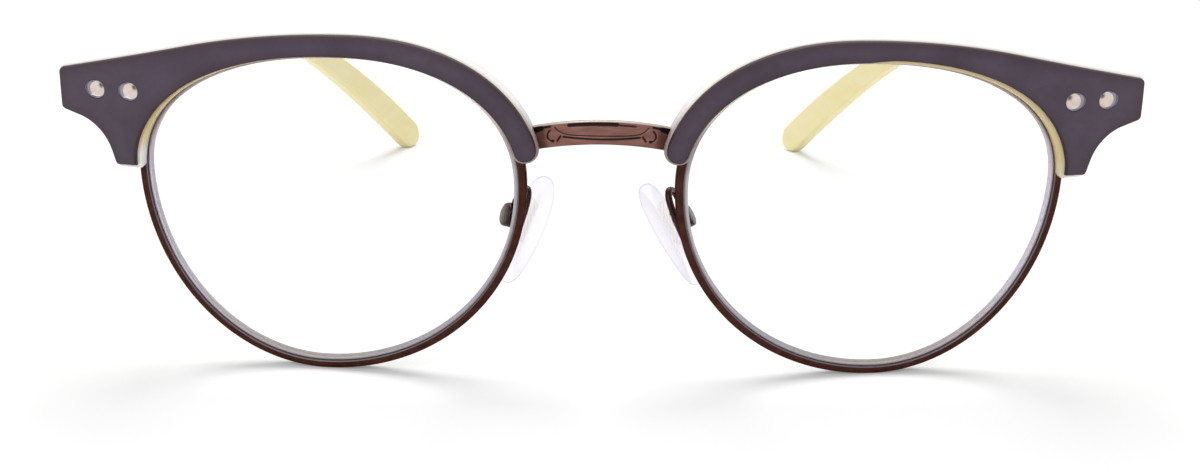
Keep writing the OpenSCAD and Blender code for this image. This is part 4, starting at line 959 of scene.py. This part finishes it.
# Table, light and camera. A plain white table in an even white room, with a broad soft lamp
# above and behind that lays a faint shadow in front of the rims, and a weaker one in front.
# The table glows a little where it is seen or mirrored, and more so in the distance.
table = finish_of("white_table", (0.86, 0.86, 0.86), 0.9, Specular_IOR_Level=0.0)
tree = table.node_tree
seen_by = ("Is Camera Ray", "Is Transmission Ray", "Is Glossy Ray")
lift = tree.nodes.new("ShaderNodeEmission")
level = tree.nodes.new("ShaderNodeMath")
level.operation = "MULTIPLY"
both = tree.nodes.new("ShaderNodeAddShader")
tree.links.new(any_ray(tree, *seen_by), level.inputs[0])
place = tree.nodes.new("ShaderNodeTexCoord")
away = tree.nodes.new("ShaderNodeVectorMath")
away.operation = "LENGTH"
tree.links.new(place.outputs["Object"], away.inputs[0])
tree.links.new(span(table, away.outputs["Value"], 0.18, 0.55, 0.4, 1.4), level.inputs[1])
tree.links.new(level.outputs[0], lift.inputs["Strength"])
tree.links.new(tree.nodes["Principled BSDF"].outputs[0], both.inputs[0])
tree.links.new(lift.outputs[0], both.inputs[1])
tree.links.new(both.outputs[0], tree.nodes["Material Output"].inputs["Surface"])

floor_mesh = bpy.data.meshes.new("table_top")
half, low = 6, -0.00002
floor_mesh.from_pydata([(-half, -half, low), (half, -half, low), (half, half, low), (-half, half, low)],
                       [], [(0, 1, 2, 3)])
floor_mesh.materials.append(table)
floor = bpy.data.objects.new("table_top", floor_mesh)
bpy.context.scene.collection.objects.link(floor)
floor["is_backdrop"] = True

scene = bpy.context.scene
world = bpy.data.worlds.new("white_room")
world.use_nodes = True
scene.world = world
tree = world.node_tree
room = tree.nodes["Background"]
room.inputs["Color"].default_value = (1, 1, 1, 1)
strength = tree.nodes.new("ShaderNodeMapRange")
strength.inputs["To Min"].default_value = 0.5
strength.inputs["To Max"].default_value = 1.0
tree.links.new(any_ray(tree, *seen_by), strength.inputs["Value"])
tree.links.new(strength.outputs["Result"], room.inputs["Strength"])


def lamp(name, spot, aim, size, power):
    """A square soft lamp at a spot that faces an aim point."""
    data = bpy.data.lights.new(name, "AREA")
    data.size = size
    data.energy = power
    piece = bpy.data.objects.new(name, data)
    piece.location = spot
    piece.rotation_mode = "QUATERNION"
    piece.rotation_quaternion = (Vector(aim) - Vector(spot)).to_track_quat("-Z", "Y")
    scene.collection.objects.link(piece)


lamp("lamp_above", (0.0, 0.25, 0.7), (0, -0.03, 0), 0.5, 3.4)
lamp("lamp_front", (-0.25, -0.7, 0.5), (0, 0, 0.02), 0.5, 1.6)

camera_data = bpy.data.cameras.new("camera")
camera_data.sensor_width = 36.0
camera_data.lens = 36.0 * 1257.2 / 1200
camera_data.clip_start = 0.01
camera_data.clip_end = 50.0
camera = bpy.data.objects.new("camera", camera_data)
scene.collection.objects.link(camera)
yaw, pitch, roll = np.radians([-0.0725, -16.787, -0.6477])
about_z = Matrix.Rotation(yaw, 3, "Z")
about_x = Matrix.Rotation(pitch, 3, "X")
about_y = Matrix.Rotation(roll, 3, "Y")
aim = (about_z @ about_x @ about_y) @ Matrix.Rotation(np.pi / 2, 3, "X")
camera_spot = (-0.00026, -0.22270, 0.06631)
camera.matrix_world = Matrix.Translation(camera_spot) @ aim.to_4x4()
scene.camera = camera

scene.view_settings.view_transform = "Standard"

low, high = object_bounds()
